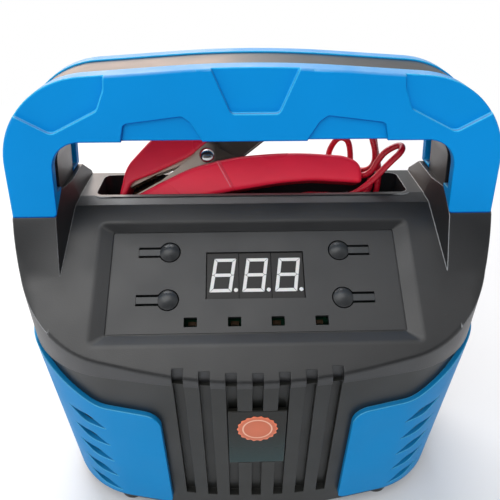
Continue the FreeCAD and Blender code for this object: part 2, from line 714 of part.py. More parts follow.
def segment_outlines():
    """The seven bars of one slanted digit, as outlines round its middle, with mitred ends."""
    x, y, t, g = bar_x, bar_y, bar_width, bar_gap
    top = [(g - x, y), (x - g, y), (x - t - g, y - t), (t + g - x, y - t)]
    middle = [(t / 2 + g - x, 0), (t + g - x, t / 2), (x - t - g, t / 2),
              (x - t / 2 - g, 0), (x - t - g, -t / 2), (t + g - x, -t / 2)]
    side = [(x, y - g), (x, g), (x - t / 2, g), (x - t, t / 2 + g), (x - t, y - t - g)]
    turned = [[(sx * px, sy * py) for px, py in side] for sx in (-1, 1) for sy in (-1, 1)]
    flipped = [(px, -py) for px, py in top]
    lean = math.tan(math.radians(bar_lean))
    return [[(px + py * lean + 0.1, py + 0.2) for px, py in bar] for bar in [top, middle, flipped] + turned]


def segments(i, grow):
    """The bars and the point of one digit, or the beds that hold them."""
    x0 = digit_centre(i)
    foot = digit_top - segment_depth
    solids = []
    for outline in segment_outlines():
        solids.append(prism([(x0 + x, display_s + y) for x, y in outline], 0, foot, digit_top + grow))
    point = cylinder(0.8, segment_depth + grow, V(x0 + bar_x + 0.85, display_s - bar_y + 1.0, foot))
    return solids + [point]


def display_module(i):
    block = prism(rectangle(digit_centre(i), display_s, digit_width, digit_height), 0,
                  digit_top - digit_depth, digit_top)
    return on_deck(block.cut(segments(i, 1.0)))


def display_segments():
    return on_deck(Part.makeCompound([s for i in range(digits) for s in segments(i, 0.0)]))


def control_board():
    board = prism(rectangle(0, panel_shift, panel_width - 5.2, panel_height - 3.3), 1.0,
                  board_top - board_thickness, board_top)
    holes = [cylinder(stand_pilot_r + 0.3, 5, V(x, s, board_top - 3)) for x, s in four(stand_x, stand_s)]
    return on_deck(cut(board, holes))


def board_screws():
    """Four screws under the control board and four on the main board."""
    screws = []
    for x, s in four(stand_x, stand_s):
        shank = cylinder(stand_pilot_r - 0.05, 5.5, V(x, s, board_top - board_thickness))
        head = cylinder(2.2, 1.4, V(x, s, board_top - board_thickness - 1.4))
        screws.append(on_deck(fuse([shank, head])))
    for x, y in board_screws_at:
        shank = cylinder(1.15, 6.0, V(x, y, board_face - 6.0))
        head = cylinder(2.4, 1.5, V(x, y, board_face))
        screws.append(fuse([shank, head]))
    return Part.makeCompound(screws)


def tact_switches():
    switches = []
    top = plate_foot - switch_gap
    for sx in (-1, 1):
        for s in pad_s:
            base = prism(rectangle(sx * pad_x, s, 6, 6), 0.4, board_top, board_top + 3.4)
            stem = cylinder(1.7, top - board_top - 3.4, V(sx * pad_x, s, board_top + 3.4))
            switches.append(on_deck(fuse([base, stem])))
    return Part.makeCompound(switches)


def status_leds():
    lamps = []
    for x in lamp_x:
        base = prism(rectangle(x, lamp_s + lamp_seat, 3.2, 1.6), 0, board_top, board_top + 0.8)
        lens = prism(rectangle(x, lamp_s + lamp_seat, 2.0, 1.3), 0.3, board_top + 0.8, board_top + 1.5)
        lamps.append(on_deck(fuse([base, lens])))
    return Part.makeCompound(lamps)


# Inside of the lower shell

def fan_pilot(z):
    """Depth of a fan screw's hole in the rear wall."""
    return lower_rear_y(z) - 1.0 - fan_rear_y


def main_board():
    board = box(-board_x, board_x, -29, 17, board_z, board_face)
    return cut(board, [cylinder(1.3, 5, V(x, y, board_z - 1)) for x, y in board_screws_at])


def transformer_core():
    """Laminated core with two windows, one on each side of its middle leg."""
    frame = box(-core_half, core_half, core_y0, core_y1, board_face, board_face + core_height)
    windows = [box(sx * 9.25 - 3.75, sx * 9.25 + 3.75, core_y0 - 5, core_y1 + 5, board_face + window_z0,
                   board_face + window_z1) for sx in (-1, 1)]
    return cut(frame, windows)


def transformer_coil():
    """Winding round the middle leg, standing out at both ends of the core."""
    middle, length = (core_y0 + core_y1) / 2, core_y1 - core_y0
    outer = prism(rectangle(0, middle, 25.6, length + 11), 3, board_face + window_z0 + 0.2,
                  board_face + window_z1 - 0.2)
    hole = box(-5.7, 5.7, core_y0 - 0.2, core_y1 + 0.2, board_face, board_face + core_height)
    return outer.cut([hole])


def capacitors():
    cans = []
    for x, y, r, h in ((-38, -14, 8, 30), (-38, 6, 6.5, 25), (-54, -6, 5, 20), (28, 10, 4, 12)):
        can = cylinder(r, h, V(x, y, board_face))
        rim = [e for e in can.Edges if abs(e.BoundBox.ZMin - board_face - h) < 1e-6]
        cans.append(can.makeFillet(0.8, rim))
    return Part.makeCompound(cans)


def heat_sink():
    top = board_face + sink_height
    pitch = (sink_x1 - sink_x0 - fin_thick) / (sink_fins - 1)
    pieces = [box(sink_x0, sink_x1, sink_y0, sink_fin_y, board_face, top)]
    for i in range(sink_fins):
        x = sink_x0 + pitch * i
        pieces.append(box(x, x + fin_thick, sink_fin_y, sink_y1, board_face, top))
    return fuse(pieces)


def power_transistors():
    bodies = []
    for x in transistor_x:
        body = box(x - 5, x + 5, sink_y0 - 4.6, sink_y0, board_face + 4, board_face + 19)
        legs = [box(x + dx - 0.4, x + dx + 0.4, sink_y0 - 2.0, sink_y0 - 1.4, board_face, board_face + 4)
                for dx in (-2.5, 0, 2.5)]
        bodies.append(fuse([body] + legs))
    return Part.makeCompound(bodies)


def relay():
    return box(36, 55, -5, 10, board_face, board_face + 15.5)


def fuse_holder():
    base = box(-26, -20, -20, 4, board_face, board_face + 6)
    blade = box(-24.2, -21.8, -16, 0, board_face + 6, board_face + 12)
    return fuse([base, blade])


def fan_frame():
    y0, y1 = fan_rear_y - fan_depth, fan_rear_y
    frame = front_prism(rectangle(fan_x, fan_z, fan_size, fan_size), 2.5, y0, y1)
    frame = frame.cut([cylinder(fan_duct_r, fan_depth, V(fan_x, y0, fan_z), Y_AXIS)])
    hub = cylinder(9.0, 1.6, V(fan_x, y0, fan_z), Y_AXIS)
    arms = []
    for i in range(3):
        arm = box(-1.2, 1.2, y0, y0 + 1.6, 8, 19.0)
        arm.rotate(V(0, 0, 0), Y_AXIS, 120 * i + 20)
        arm.translate(V(fan_x, 0, fan_z))
        arms.append(arm)
    pin = cylinder(fan_pin_r, 6.0, V(fan_x, y0 + 1.6, fan_z), Y_AXIS)
    holes = [cylinder(1.5, 30, V(x, y0 - 5, z), Y_AXIS) for x, z in fan_screws_at]
    return cut(fuse([frame, hub, pin] + arms), holes)


def fan_rotor():
    y0 = fan_rear_y - fan_depth + 2.1
    hub = cylinder(8.8, 7.0, V(fan_x, y0, fan_z), Y_AXIS)
    blades = []
    for i in range(7):
        blade = box(-4.5, 4.5, -0.5, 0.5, 8.0, 17.4)
        blade.rotate(V(0, 0, 0), Z_AXIS, 38)
        blade.rotate(V(0, 0, 0), Y_AXIS, 360 / 7 * i)
        blade.translate(V(fan_x, y0 + 3.5, fan_z))
        blades.append(blade)
    sweep = cylinder(fan_sweep_r, 7.0, V(fan_x, y0, fan_z), Y_AXIS)
    body = fuse([hub] + blades).common(sweep)
    return cut(body, [cylinder(fan_pin_r + 0.06, 5.6, V(fan_x, y0, fan_z), Y_AXIS)])


def fan_screws():
    screws = []
    for x, z in fan_screws_at:
        shank = cylinder(1.2, fan_depth + fan_pilot(z) - 0.3, V(x, fan_rear_y - fan_depth, z), Y_AXIS)
        head = cylinder(2.4, 1.4, V(x, fan_rear_y - fan_depth - 1.4, z), Y_AXIS)
        screws.append(fuse([shank, head]))
    return Part.makeCompound(screws)


def mains_gland():
    """Strain bush in the rear wall, empty, with a flange on each side of the wall."""
    wall_out = lower_rear_y(mains_gland_z)

    def ring(r, y0, y1):
        return cylinder(r, y1 - y0, V(mains_gland_x, y0, mains_gland_z), Y_AXIS)
    flange = ring(7.5, wall_out + 0.6, gland_end_y)
    flange = flange.makeChamfer(2.0, [e for e in flange.Edges if abs(e.BoundBox.YMin - gland_end_y) < 1e-6])
    neck = ring(gland_neck_r - 0.05, wall_out - 6, gland_end_y)
    nut = ring(7.0, wall_out - 5.4, wall_out - 3.2)
    return cut(fuse([neck, flange, nut]), [ring(gland_bore_r, wall_out - 10, gland_end_y + 5)])


def lead_glands():
    """Two rubber bushes in the floor of the well, red lead at the back, black lead in front."""
    bushes = []
    under_z = well_floor_z - well_wall
    for y in lead_gland_y:
        body = cylinder(gland_hole_r, well_wall, V(lead_gland_x, y, under_z))
        collar = cylinder(gland_collar_r, gland_collar, V(lead_gland_x, y, well_floor_z))
        lower = cylinder(gland_collar_r, gland_collar, V(lead_gland_x, y, under_z - gland_collar))
        bushes.append(fuse([body, collar, lower]))
    return Part.makeCompound(bushes)


def rubber_feet():
    feet = []
    for sx in (-1, 1):
        for y in foot_y:
            foot = cylinder(foot_r, foot_height, V(sx * foot_x, y, 0))
            feet.append(foot.makeFillet(0.8, [e for e in foot.Edges if abs(e.BoundBox.ZMax) < 1e-6]))
    return Part.makeCompound(feet)


def case_screws():
    screws = []
    seat = foot_height + case_head_deep
    for x, y in boss_places():
        head = cylinder(case_head_r, case_head_h, V(x, y, seat - case_head_h))
        shank = cylinder(case_pilot_r - 0.05, parting_z + 8 - seat, V(x, y, seat))
        screws.append(fuse([head, shank]))
    return Part.makeCompound(screws)


# Clamps, drawn in their own plane: the rivet at the origin, the jaws to the left

mouth_end = (-31.5, -17.2)      # the toothed strip of the fixed jaw runs from here
mouth_root = (-19.5, -10.7)     # to here
upper_end = (-32.8, -13.3)
upper_root = (-22.5, -8.2)


def fixed_cover_outline():
    """Insulator of the half that lies in the well."""
    points = [(-35.4, -19.2), (-31.5, -17.8), (-20.0, -11.8), (-7.2, -5.6), (3.8, -2.8), (14.0, -0.8),
              (36.0, 0.9), (59.0, -0.8), (67.0, -4.0), (67.0, -12.9), (45.0, -11.4), (31.0, -12.6),
              (9.7, -16.0), (-10.0, -20.2), (-28.0, -23.6), (-35.6, -22.6)]
    return points, [1.2, 0, 40, 60, 50, 90, 160, 12, 6.5, 1.5, 60, 60, 80, 80, 20, 1.8]


def moving_cover_outline():
    """Insulator of the half that swings."""
    points = [(-37.8, -18.6), (-35.0, -17.6), (-32.4, -11.6), (-22.0, -7.6), (-7.2, -0.6), (8.0, 12.0),
              (24.0, 24.0), (47.6, 36.6), (46.6, 42.6), (36.0, 43.4), (20.0, 38.0), (-7.0, 19.6),
              (-24.0, 6.4), (-34.6, -5.0)]
    return points, [1.2, 0, 5, 30, 30, 60, 60, 3, 3, 20, 40, 60, 40, 16]


def soft_prism(points, radii, half, edge_r):
    """The outline between both sides of a clamp, rounded along its outside."""
    body = prism(points, radii, -half, half)
    return body.makeFillet(edge_r, [e for e in body.Edges if e.BoundBox.ZLength < 1e-6])


def collar_rib(points, radii):
    """A slanted rib on the front, the top and the underside of the lower insulator."""
    stronger = soft_prism(points, radii, clamp_width / 2 + collar, lower_round)
    x0, x1 = 3.1, 13.2
    band = prism([(x0, -1), (x0 + collar_width, -1), (x1 + collar_width, -20), (x1, -20)], 0,
                 -clamp_width / 2, 20)
    return stronger.common(band)


def fixed_cover():
    points, radii = fixed_cover_outline()
    body = half_cover(points, radii, fixed_steel_outline(), steel_half, lower_round)
    rib = collar_rib(points, radii).cut([prism(*fixed_steel_outline(), -steel_half, steel_half)])
    room = prism([(2.0, 3.0), (2.0, -9.0), (26.0, -7.4), (36.0, -2.0), (36.0, 3.0)], 0,
                 -inner_half - ear_gap, inner_half + ear_gap)
    return cut(body.fuse([rib]), [room])


def half_cover(points, radii, pocket, pocket_half, edge_r):
    """One insulator: rounded along its outside, with the bed of its steel jaw inside."""
    body = soft_prism(points, radii, clamp_width / 2, edge_r)
    half = steel_half + 0.2
    return cut(body, [prism(pocket[0], pocket[1], -pocket_half, pocket_half),
                      cylinder(ear_r + 0.4, 2 * half, V(0, 0, -half))])


def fixed_steel_outline():
    points = [(-32.0, -19.4), mouth_end, mouth_root, (-9.4, -3.0), (-4.6, 0.0), (2.0, 4.6), (5.6, 4.6),
              (5.6, 2.8), (12.1, -0.7), (18.0, -3.2), (38.0, -3.0), (38.0, -8.5), (10.0, -12.0),
              (-12.0, -16.6), (-27.0, -20.6)]
    return points, [0.5, 0, 6, 4, 0, 0, 0.8, 0.8, 0, 3, 1.5, 1.5, 20, 20, 2]


def moving_steel_outline():
    points = [(-34.8, -15.4), upper_end, upper_root, (-9.0, -3.4), (-3.4, -5.2), (4.6, -4.8), (13.0, -2.1),
              (30.0, 10.8), (37.0, 27.0), (34.0, 33.0), (26.4, 34.0), (2.0, 19.0), (-20.0, 3.0),
              (-31.0, -6.6)]
    return points, [0.5, 0, 8, 4, 4.2, 4.2, 3, 12, 4, 1.5, 1.5, 20, 20, 8]


def channel(points, radii, half, bed):
    """A folded steel jaw: two side plates with round ears, joined by the bed behind the insulator."""
    body = fuse([prism(points, radii, -half, half), cylinder(ear_r, 2 * half, V(0, 0, -half))])
    inside = box(-60, 80, -60, 60, -half + steel, half - steel).cut([bed])
    return cut(body, [inside])


def fixed_jaw():
    points, radii = fixed_steel_outline()
    bed = prism([(-40, -25), (-40, -17.6), (-31.0, -17.6), (-19.0, -11.6), (-10.0, -15.0), (10.0, -10.6),
                 (36, -7.2), (40, -7.2), (40, -25)], 0, -10, 10)
    body = channel(points, radii, steel_half, bed)
    return cut(body, [cylinder(rivet_r, 20, V(0, 0, -10))])


def moving_jaw():
    points, radii = moving_steel_outline()
    bed = prism([(-40, -15.0), (-34.2, -13.4), (-22.5, -7.2), (-8, 8.4), (12, 22.6), (29.0, 33.0), (20, 45),
                 (-40, 30)], 0, -10, 10)
    body = channel(points, radii, inner_half, bed)
    return cut(body, [cylinder(rivet_r + rivet_gap, 20, V(0, 0, -10))])


def toothed(root, end, side, half):
    """A toothed copper strip from root to end, its teeth on the given side."""
    a, b = V(*root, 0), V(*end, 0)
    along = (b - a).normalize()
    up = V(-along.y, along.x, 0) * side
    length = (b - a).Length
    teeth = 7
    pitch = length / teeth
    points = [a, a + up * 0.6]
    for i in range(teeth):
        points.append(a + along * (pitch * (i + 0.5)) + up * 1.5)
        points.append(a + along * (pitch * (i + 1)) + up * 0.6)
    points.append(b)
    return prism([(p.x, p.y) for p in points], 0, -half, half)


def fixed_contact():
    return toothed(mouth_root, mouth_end, -1, inner_half)


def moving_contact():
    return toothed(upper_root, upper_end, 1, inner_half - steel)


def rivet():
    """A shank through both jaws, with a domed head on each side."""
    shank = cylinder(rivet_r, 2 * steel_half, V(0, 0, -steel_half))
    dome_r = (rivet_head_r ** 2 + rivet_dome ** 2) / (2 * rivet_dome)
    dome = Part.makeSphere(dome_r, V(0, 0, steel_half + rivet_dome - dome_r))
    dome = dome.common(cylinder(rivet_head_r, 10, V(0, 0, steel_half)))
    return fuse([shank, dome, dome.mirror(V(0, 0, 0), Z_AXIS)])


def arc_from(start, tangent, end):
    """The arc that leaves start along the tangent and reaches end."""
    chord = end - start
    straight = V(chord).normalize()
    bend = tangent.getAngle(chord)
    outward = tangent - straight * tangent.dot(straight)
    middle = (start + end) * 0.5 + outward.normalize() * (chord.Length / 2 * math.tan(bend / 2))
    return Part.Arc(start, middle, end).toShape()


def two_arcs(p0, t0, p1, t1):
    """Two arcs that meet with one tangent, from p0 along t0 to p1 along t1."""
    chord, both_t = p1 - p0, t0 + t1
    a = 2 * (1 - t0.dot(t1))
    b = 2 * chord.dot(both_t)
    c = -chord.dot(chord)
    reach = (-b + math.sqrt(b * b - 4 * a * c)) / (2 * a)
    joint = (p0 + t0 * reach + p1 - t1 * reach) * 0.5
    first = arc_from(p0, t0, joint)
    second = arc_from(p1, t1 * -1, joint)
    return [first, second]


def spring():
    """Torsion spring: wire wound clockwise round the rivet, with a leg for each half."""
    steps = 10
    rise = coil_pitch / (2 * math.pi)
    start_z = rise * math.radians(coil_end - coil_start) / 2

    def at(i):
        t = math.radians(coil_start + (coil_end - coil_start) * i / steps)
        z = start_z - rise * (t - math.radians(coil_start))
        climb = 0 if i in (0, steps) else rise
        along = V(math.sin(t) * coil_r, -math.cos(t) * coil_r, climb)
        return V(coil_r * math.cos(t), coil_r * math.sin(t), z), along.normalize()
    edges = []
    for i in range(steps):
        (p0, t0), (p1, t1) = at(i), at(i + 1)
        edges += two_arcs(p0, t0, p1, t1)
    p0, t0 = at(0)
    p1, t1 = at(steps)
    foot = p0 - t0 * fixed_leg
    path = Part.Wire([Part.makeLine(foot, p0)] + edges + [Part.makeLine(p1, p1 + t1 * free_leg)])
    ring = Part.Wire(Part.makeCircle(wire_d / 2, foot, t0))
    return path.makePipeShell([ring], True, False)


def clamp_pieces():
    """Every piece of one clamp, at rest with its jaws closed."""
    return {
        "fixed_cover": fixed_cover(),
        "moving_cover": half_cover(*moving_cover_outline(), moving_steel_outline(), inner_half, upper_round),
        "fixed_jaw": fixed_jaw(),
        "moving_jaw": moving_jaw(),
        "fixed_contact": fixed_contact(),
        "moving_contact": moving_contact(),
        "rivet": rivet(),
        "spring": spring(),
    }


def place_red(shape):
    shape = shape.copy()
    shape.rotate(V(0, 0, 0), X_AXIS, 90 - red_lean)
    shape.translate(V(*red_pivot))
    return shape


def place_black(shape):
    shape = shape.copy()
    shape.rotate(V(0, 0, 0), Z_AXIS, black_turn)
    shape.rotate(V(0, 0, 0), X_AXIS, 90)
    shape.translate(V(black_pivot_x, (well_front_y + well_low_rear_y) / 2, well_floor_z + black_pivot_up))
    return shape


# Leads

red_route = [
    (60.5, 31.0, 59.2), (60.5, 31.0, 74.0), (61.0, 32.0, 92.0), (61.4, 34.2, 110.0),
    (61.6, 36.2, 124.0), (61.5, 37.2, 133.0), (61.0, 40.9, 139.5), (59.4, 45.4, 145.6),
    (56.8, 47.6, 152.0), (53.6, 45.8, 157.0), (51.8, 41.2, 156.6), (52.2, 38.4, 151.0),
    (53.8, 37.9, 145.4), (54.3, 38.0, 140.4), (52.9, 39.4, 136.8), (48.2, 43.2, 137.0),
    (44.9, 45.6, 139.6), (44.2, 46.2, 143.6), (42.6, 46.6, 147.2), (38.9, 46.8, 147.6),
    (36.9, 46.8, 144.0), (36.6, 47.4, 138.8), (40.0, 48.8, 135.4), (45.6, 48.2, 135.2),
    (51.6, 46.4, 135.4), (56.2, 42.6, 135.8), (57.4, 37.4, 135.0), (56.0, 34.6, 129.0),
    (50.6, 33.6, 123.8), (42.0, 34.8, 122.8), (33.0, 34.6, 124.8), (24.0, 33.4, 126.6),
    (12.0, 31.5, 122.6), (5.2, 30.6, 121.6), (3.2, 26.4, 121.3), (7.6, 23.2, 122.0),
    (14.5, 23.0, 125.2), (23.0, 24.0, 130.2), (32.0, 24.2, 130.6), (39.0, 24.0, 129.2),
    (45.0, 23.9, 131.6), (51.3, 24.0, 137.5), (57.6, 24.0, 144.5), (62.0, 24.2, 149.4),
    (62.2, 27.4, 151.6), (59.0, 29.4, 149.4), (55.8, 30.0, 145.6),
]
black_route = [
    (60.5, 24.3, 59.2), (60.5, 24.3, 74.0), (56.0, 25.0, 90.0), (48.0, 26.0, 102.0),
    (40.4, 26.6, 114.0), (38.6, 27.0, 124.6), (43.0, 27.8, 130.8), (47.2, 28.6, 124.6),
    (46.8, 29.8, 112.0), (50.0, 31.0, 99.0), (56.4, 30.6, 88.0), (57.6, 28.8, 76.4),
]


def lead(name, route):
    """A round lead along straight runs joined by tangent arcs, each as wide as its runs allow."""
    points = [V(*p) for p in route]
    runs = [(b - a).Length for a, b in zip(points, points[1:])]
    edges, radii, last = [], [], points[0]
    for i in range(1, len(points) - 1):
        u = (points[i] - points[i - 1]).normalize()
        w = (points[i + 1] - points[i]).normalize()
        reach = 0.45 * min(runs[i - 1], runs[i])
        turn = u.getAngle(w)
        radii.append(reach / math.tan(turn / 2))
        start, end = points[i] - u * reach, points[i] + w * reach
        middle = points[i] + (w - u).normalize() * (radii[-1] / math.cos(turn / 2) - radii[-1])
        edges.append(Part.makeLine(last, start))
        edges.append(Part.Arc(start, middle, end).toShape())
        last = end
    edges.append(Part.makeLine(last, points[-1]))
    path = Part.Wire(edges)
    ring = Part.Wire(Part.makeCircle(lead_d / 2, points[0], points[1] - points[0]))
    tube = path.makePipeShell([ring], True, False)
    expected = math.pi * lead_d ** 2 / 4 * path.Length
    marks = path.discretize(Number=int(path.Length / 1.0))
    step = path.Length / (len(marks) - 1)
    far = int(5 * lead_d / step)
    gap = min((a - b).Length for i, a in enumerate(marks) for b in marks[i + far:]) - lead_d
    print(f"{name}: length {path.Length:.0f}, radii {' '.join(f'{r:.1f}' for r in radii)}, "
          f"least gap to itself {gap:.2f}, volume {tube.Volume / expected:.4f} of section times length")
    return tube


def at_clamp(place, x, u, z):
    """A point of a clamp's own plane, in the place where that clamp lies."""
    mark = place(Part.Vertex(x, u, z))
    return mark.Point.x, mark.Point.y, mark.Point.z


def red_lead():
    near = at_clamp(place_red, clamp_end_x + lead_stub, lead_entry_u, 2.0)
    return lead("lead_red", red_route + [near, at_clamp(place_red, clamp_end_x, lead_entry_u, 2.0)])


def black_lead():
    near = at_clamp(place_black, clamp_end_x + lead_stub, lead_entry_u, 0.0)
    return lead("lead_black", black_route + [near, at_clamp(place_black, clamp_end_x, lead_entry_u, 0.0)])


def main():
    os.makedirs("parts", exist_ok=True)
    save("upper_shell", upper_shell())
    save("lower_shell", lower_shell())
    save("handle_core", handle_core())
    save("handle_cover_front", handle_cover_front())
    save("handle_cover_rear", handle_cover_rear())
    save("handle_screws", handle_screws())
    save("front_plate", front_plate())
    guard = side_guard()
    save("side_guard_right", guard)
    save("side_guard_left", mirror_x(guard))
    save("control_panel", control_panel())
    for i, (sx, s) in enumerate([(-1, pad_s[0]), (-1, pad_s[1]), (1, pad_s[0]), (1, pad_s[1])]):
        save(f"button_{i + 1}", button(sx, s))
    for i in range(digits):
        save(f"display_module_{i + 1}", display_module(i))
    save("display_segments", display_segments())
    save("control_board", control_board())
    save("board_screws", board_screws())
    save("tact_switches", tact_switches())
    save("status_leds", status_leds())
    save("main_board", main_board())
    save("transformer_core", transformer_core())
    save("transformer_coil", transformer_coil())
    save("capacitors", capacitors())
    save("heat_sink", heat_sink())
    save("power_transistors", power_transistors())
    save("relay", relay())
    save("fuse_holder", fuse_holder())
    save("fan_frame", fan_frame())
    save("fan_rotor", fan_rotor())
    save("fan_screws", fan_screws())
    save("mains_gland", mains_gland())
    save("lead_glands", lead_glands())
    save("rubber_feet", rubber_feet())
    save("case_screws", case_screws())
    for colour, place in (("red", place_red), ("black", place_black)):
        for piece, shape in clamp_pieces().items():
            save(f"clamp_{colour}_{piece}", place(shape))
    save("lead_red", red_lead())
    save("lead_black", black_lead())


main()
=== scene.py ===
"""Looks of a portable car battery charger: finishes, leads, small trim and a plain studio."""
import math

import bmesh
import bpy
from bpy.props import FloatProperty, FloatVectorProperty, PointerProperty
from mathutils import Matrix, Vector


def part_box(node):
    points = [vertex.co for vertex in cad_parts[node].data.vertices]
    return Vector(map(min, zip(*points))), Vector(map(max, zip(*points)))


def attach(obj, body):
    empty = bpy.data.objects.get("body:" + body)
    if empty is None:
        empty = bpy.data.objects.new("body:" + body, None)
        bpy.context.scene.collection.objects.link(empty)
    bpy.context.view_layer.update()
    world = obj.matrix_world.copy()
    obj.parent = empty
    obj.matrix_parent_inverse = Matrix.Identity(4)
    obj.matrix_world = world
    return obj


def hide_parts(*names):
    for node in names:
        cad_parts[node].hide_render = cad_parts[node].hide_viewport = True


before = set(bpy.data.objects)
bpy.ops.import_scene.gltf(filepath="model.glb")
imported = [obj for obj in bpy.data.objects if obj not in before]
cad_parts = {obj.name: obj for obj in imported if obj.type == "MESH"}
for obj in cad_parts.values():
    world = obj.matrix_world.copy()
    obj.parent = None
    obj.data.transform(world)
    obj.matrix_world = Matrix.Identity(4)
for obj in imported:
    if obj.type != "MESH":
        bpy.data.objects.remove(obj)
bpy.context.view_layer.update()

bl_info = {
    "name": "Car battery charger",
    "version": (1, 0, 0),
    "blender": (4, 5, 0),
    "location": "3D View > Sidebar > Charger",
    "description": "Dresses the packed model of a car battery charger and sets up its studio",
    "category": "Object",
}

MM = 0.001

# Shading of the CAD nodes
CREASE_ANGLE = 33.0               # degrees; faces that meet at more keep a crease
LIP_CREASE_ANGLE = 12.0           # degrees; the same on the lip in front of the well
LIP_MIDDLE = (0.0168, 0.1328)     # y and z of the middle of that lip
LIP_REACH = 0.0036                # how far its edges lie from its middle
POST_PLACE = (0.072, -0.020)      # |x| and y of the front case posts, whose tops come through the deck
POST_REACH = 0.0043               # radius round a post's middle that holds its whole top
DECK_POINT = (-0.02226, 0.10766)  # y and z of a point on the deck
DECK_RISE = 0.6671                # how much the deck rises per length towards the rear
FLAT_WEIGHT = 90                  # how strongly flat faces outweigh the fillets beside them

# Where the finishes and their painted light change over the object
PANEL_SIDE = (0.058, 0.063)       # |x| between which the shell's edges take painted highlights, outside its panel
LEG_SIDE = (0.078, 0.082)         # |x| between which the outer side of each leg starts
LEG_RUN_OUT = 0.1147              # height where the foot of each leg runs out into the deck
LEG_RUN_OUT_REACH = (0.004, 0.009)  # the foot is fully rounded within the first and plain past the second
LEG_RUN_OUT_ROUND = 0.007         # its radius
PLATE_TINT = (0.062, 0.040)       # heights between which the front plate turns cold, a painted reflection of the bench
PLATE_THICKNESS = 0.0018
SHADE_RUN = (-0.003, 0.004)        # x from the rivet over which a jaw's plating darkens into painted shade
LIT_SIDE = (-0.45, -0.35, 0.82)  # edges that look this way get the palest painted highlight
PALE_TURN = (0.50, 0.66)          # how far along that way an edge looks to take painted highlight
DEEP_TURN = (0.20, -0.10)         # the same, to take painted shade
RIM_SHARE = 1.3                   # reach of a painted edge highlight beside the radius it is shaded with
SMALL_ROUND = 0.0002              # edge radius of metal parts and small mouldings
SPECK_DENSITY = 8.0               # how much denser a speck of dust is than the film round it

# The round sticker: how many scallops its rim has, and how deep they are beside its radius
SCALLOPS = 18
SCALLOP_DEPTH = 0.035
RIM_STEPS = 144                   # points round the rim
STICKER_PRESS = 0.00002           # how far its underside sinks into the plate, so that no gap shows
# Its rings from the rim inwards, as shares of its radius and thickness
STICKER_RINGS = ((1.0, 0.0), (1.0, 0.75), (0.985, 1.0), (0.7, 1.0), (0.35, 1.0))

# Centre lines of the two leads in metres, from the bush in the well to the clamp
RED_ROUTE = (
    (0.0605, 0.0310, 0.0592), (0.0605, 0.0310, 0.0740), (0.0610, 0.0320, 0.0920), (0.0582, 0.0342, 0.1100),
    (0.0564, 0.0356, 0.1205), (0.0576, 0.0374, 0.1296), (0.0579, 0.0410, 0.1360), (0.0570, 0.0450, 0.1410),
    (0.0557, 0.0472, 0.1473), (0.0534, 0.0460, 0.1538), (0.0515, 0.0412, 0.1565), (0.0521, 0.0384, 0.1510),
    (0.0543, 0.0379, 0.1454), (0.0550, 0.0380, 0.1398), (0.0536, 0.0400, 0.1351), (0.0496, 0.0434, 0.1329),
    (0.0458, 0.0456, 0.1349), (0.0454, 0.0462, 0.1413), (0.0437, 0.0466, 0.1471), (0.0394, 0.0468, 0.1481),
    (0.0364, 0.0468, 0.1438), (0.0353, 0.0474, 0.1382), (0.0400, 0.0488, 0.1340), (0.0454, 0.0484, 0.1318),
    (0.0504, 0.0466, 0.1308), (0.0538, 0.0426, 0.1304), (0.0544, 0.0380, 0.1294), (0.0526, 0.0346, 0.1266),
    (0.0488, 0.0336, 0.1237), (0.0420, 0.0348, 0.1228), (0.0330, 0.0346, 0.1248), (0.0240, 0.0334, 0.1266),
    (0.0120, 0.0315, 0.1226), (0.0052, 0.0306, 0.1216), (0.0032, 0.0264, 0.1213), (0.0076, 0.0232, 0.1220),
    (0.0145, 0.0230, 0.1252), (0.0230, 0.0240, 0.1302), (0.0320, 0.0242, 0.1306), (0.0390, 0.0240, 0.1292),
    (0.0450, 0.0239, 0.1316), (0.0513, 0.0240, 0.1375), (0.0570, 0.0240, 0.1452), (0.0615, 0.0242, 0.1500),
    (0.0623, 0.0274, 0.1514), (0.0599, 0.0294, 0.1504), (0.0549, 0.0304, 0.1462), (0.0520, 0.03181, 0.13597),
    (0.0475, 0.03181, 0.13597),
)
BLACK_ROUTE = (
    (0.0605, 0.0243, 0.0592), (0.0605, 0.0243, 0.0740), (0.0560, 0.0250, 0.0900), (0.0480, 0.0260, 0.1020),
    (0.0404, 0.0266, 0.1140), (0.0386, 0.0270, 0.1246), (0.0430, 0.0278, 0.1308), (0.0472, 0.0286, 0.1246),
    (0.0468, 0.0298, 0.1120), (0.0500, 0.0310, 0.0990), (0.0564, 0.0306, 0.0880), (0.0576, 0.0288, 0.0764),
    (0.05385, 0.02775, 0.06156), (0.04938, 0.02775, 0.06210),
)

# Where the photograph was taken from, worked out with the housing's sizes
CAMERA_PLACE = (-0.006469, -0.168016, 0.228006)
CAMERA_DOWN = 33.063              # degrees below level
CAMERA_ASIDE = 1.597              # degrees towards +X
CAMERA_ROLL = -0.104              # degrees
CAMERA_FOV = 53.324               # degrees across the picture
CAMERA_SHIFT = -0.001             # the picture's middle row is half a pixel off the lens axis
CAMERA_NEAR = 0.01

# Soft lights: place, what they aim at, width and height, watts, colour
LIGHTS = {
    "window": ((-0.35, 1.15, 1.25), (0.0, 0.0, 0.12), (1.2, 0.9), 18.0, (0.98, 0.99, 1.0)),
    "wall": ((-0.60, 1.25, 0.52), (0.0, 0.0, 0.12), (1.3, 0.7), 5.5, (1.0, 0.66, 0.47)),
    "ceiling": ((-0.45, -0.2, 1.5), (0.0, 0.0, 0.1), (1.3, 1.5), 8.0, (1.0, 0.99, 0.97)),
    "front_fill": ((-0.35, -1.3, 0.95), (0.0, 0.0, 0.1), (1.2, 1.0), 10.5, (1.0, 1.0, 1.0)),
}
BENCH_HALF = 6.0                  # half the bench's width
BENCH_FADE = (0.25, 0.70)         # distances over which the bench runs out into the white backdrop
WHITE = (1.0, 1.0, 1.0, 1.0)


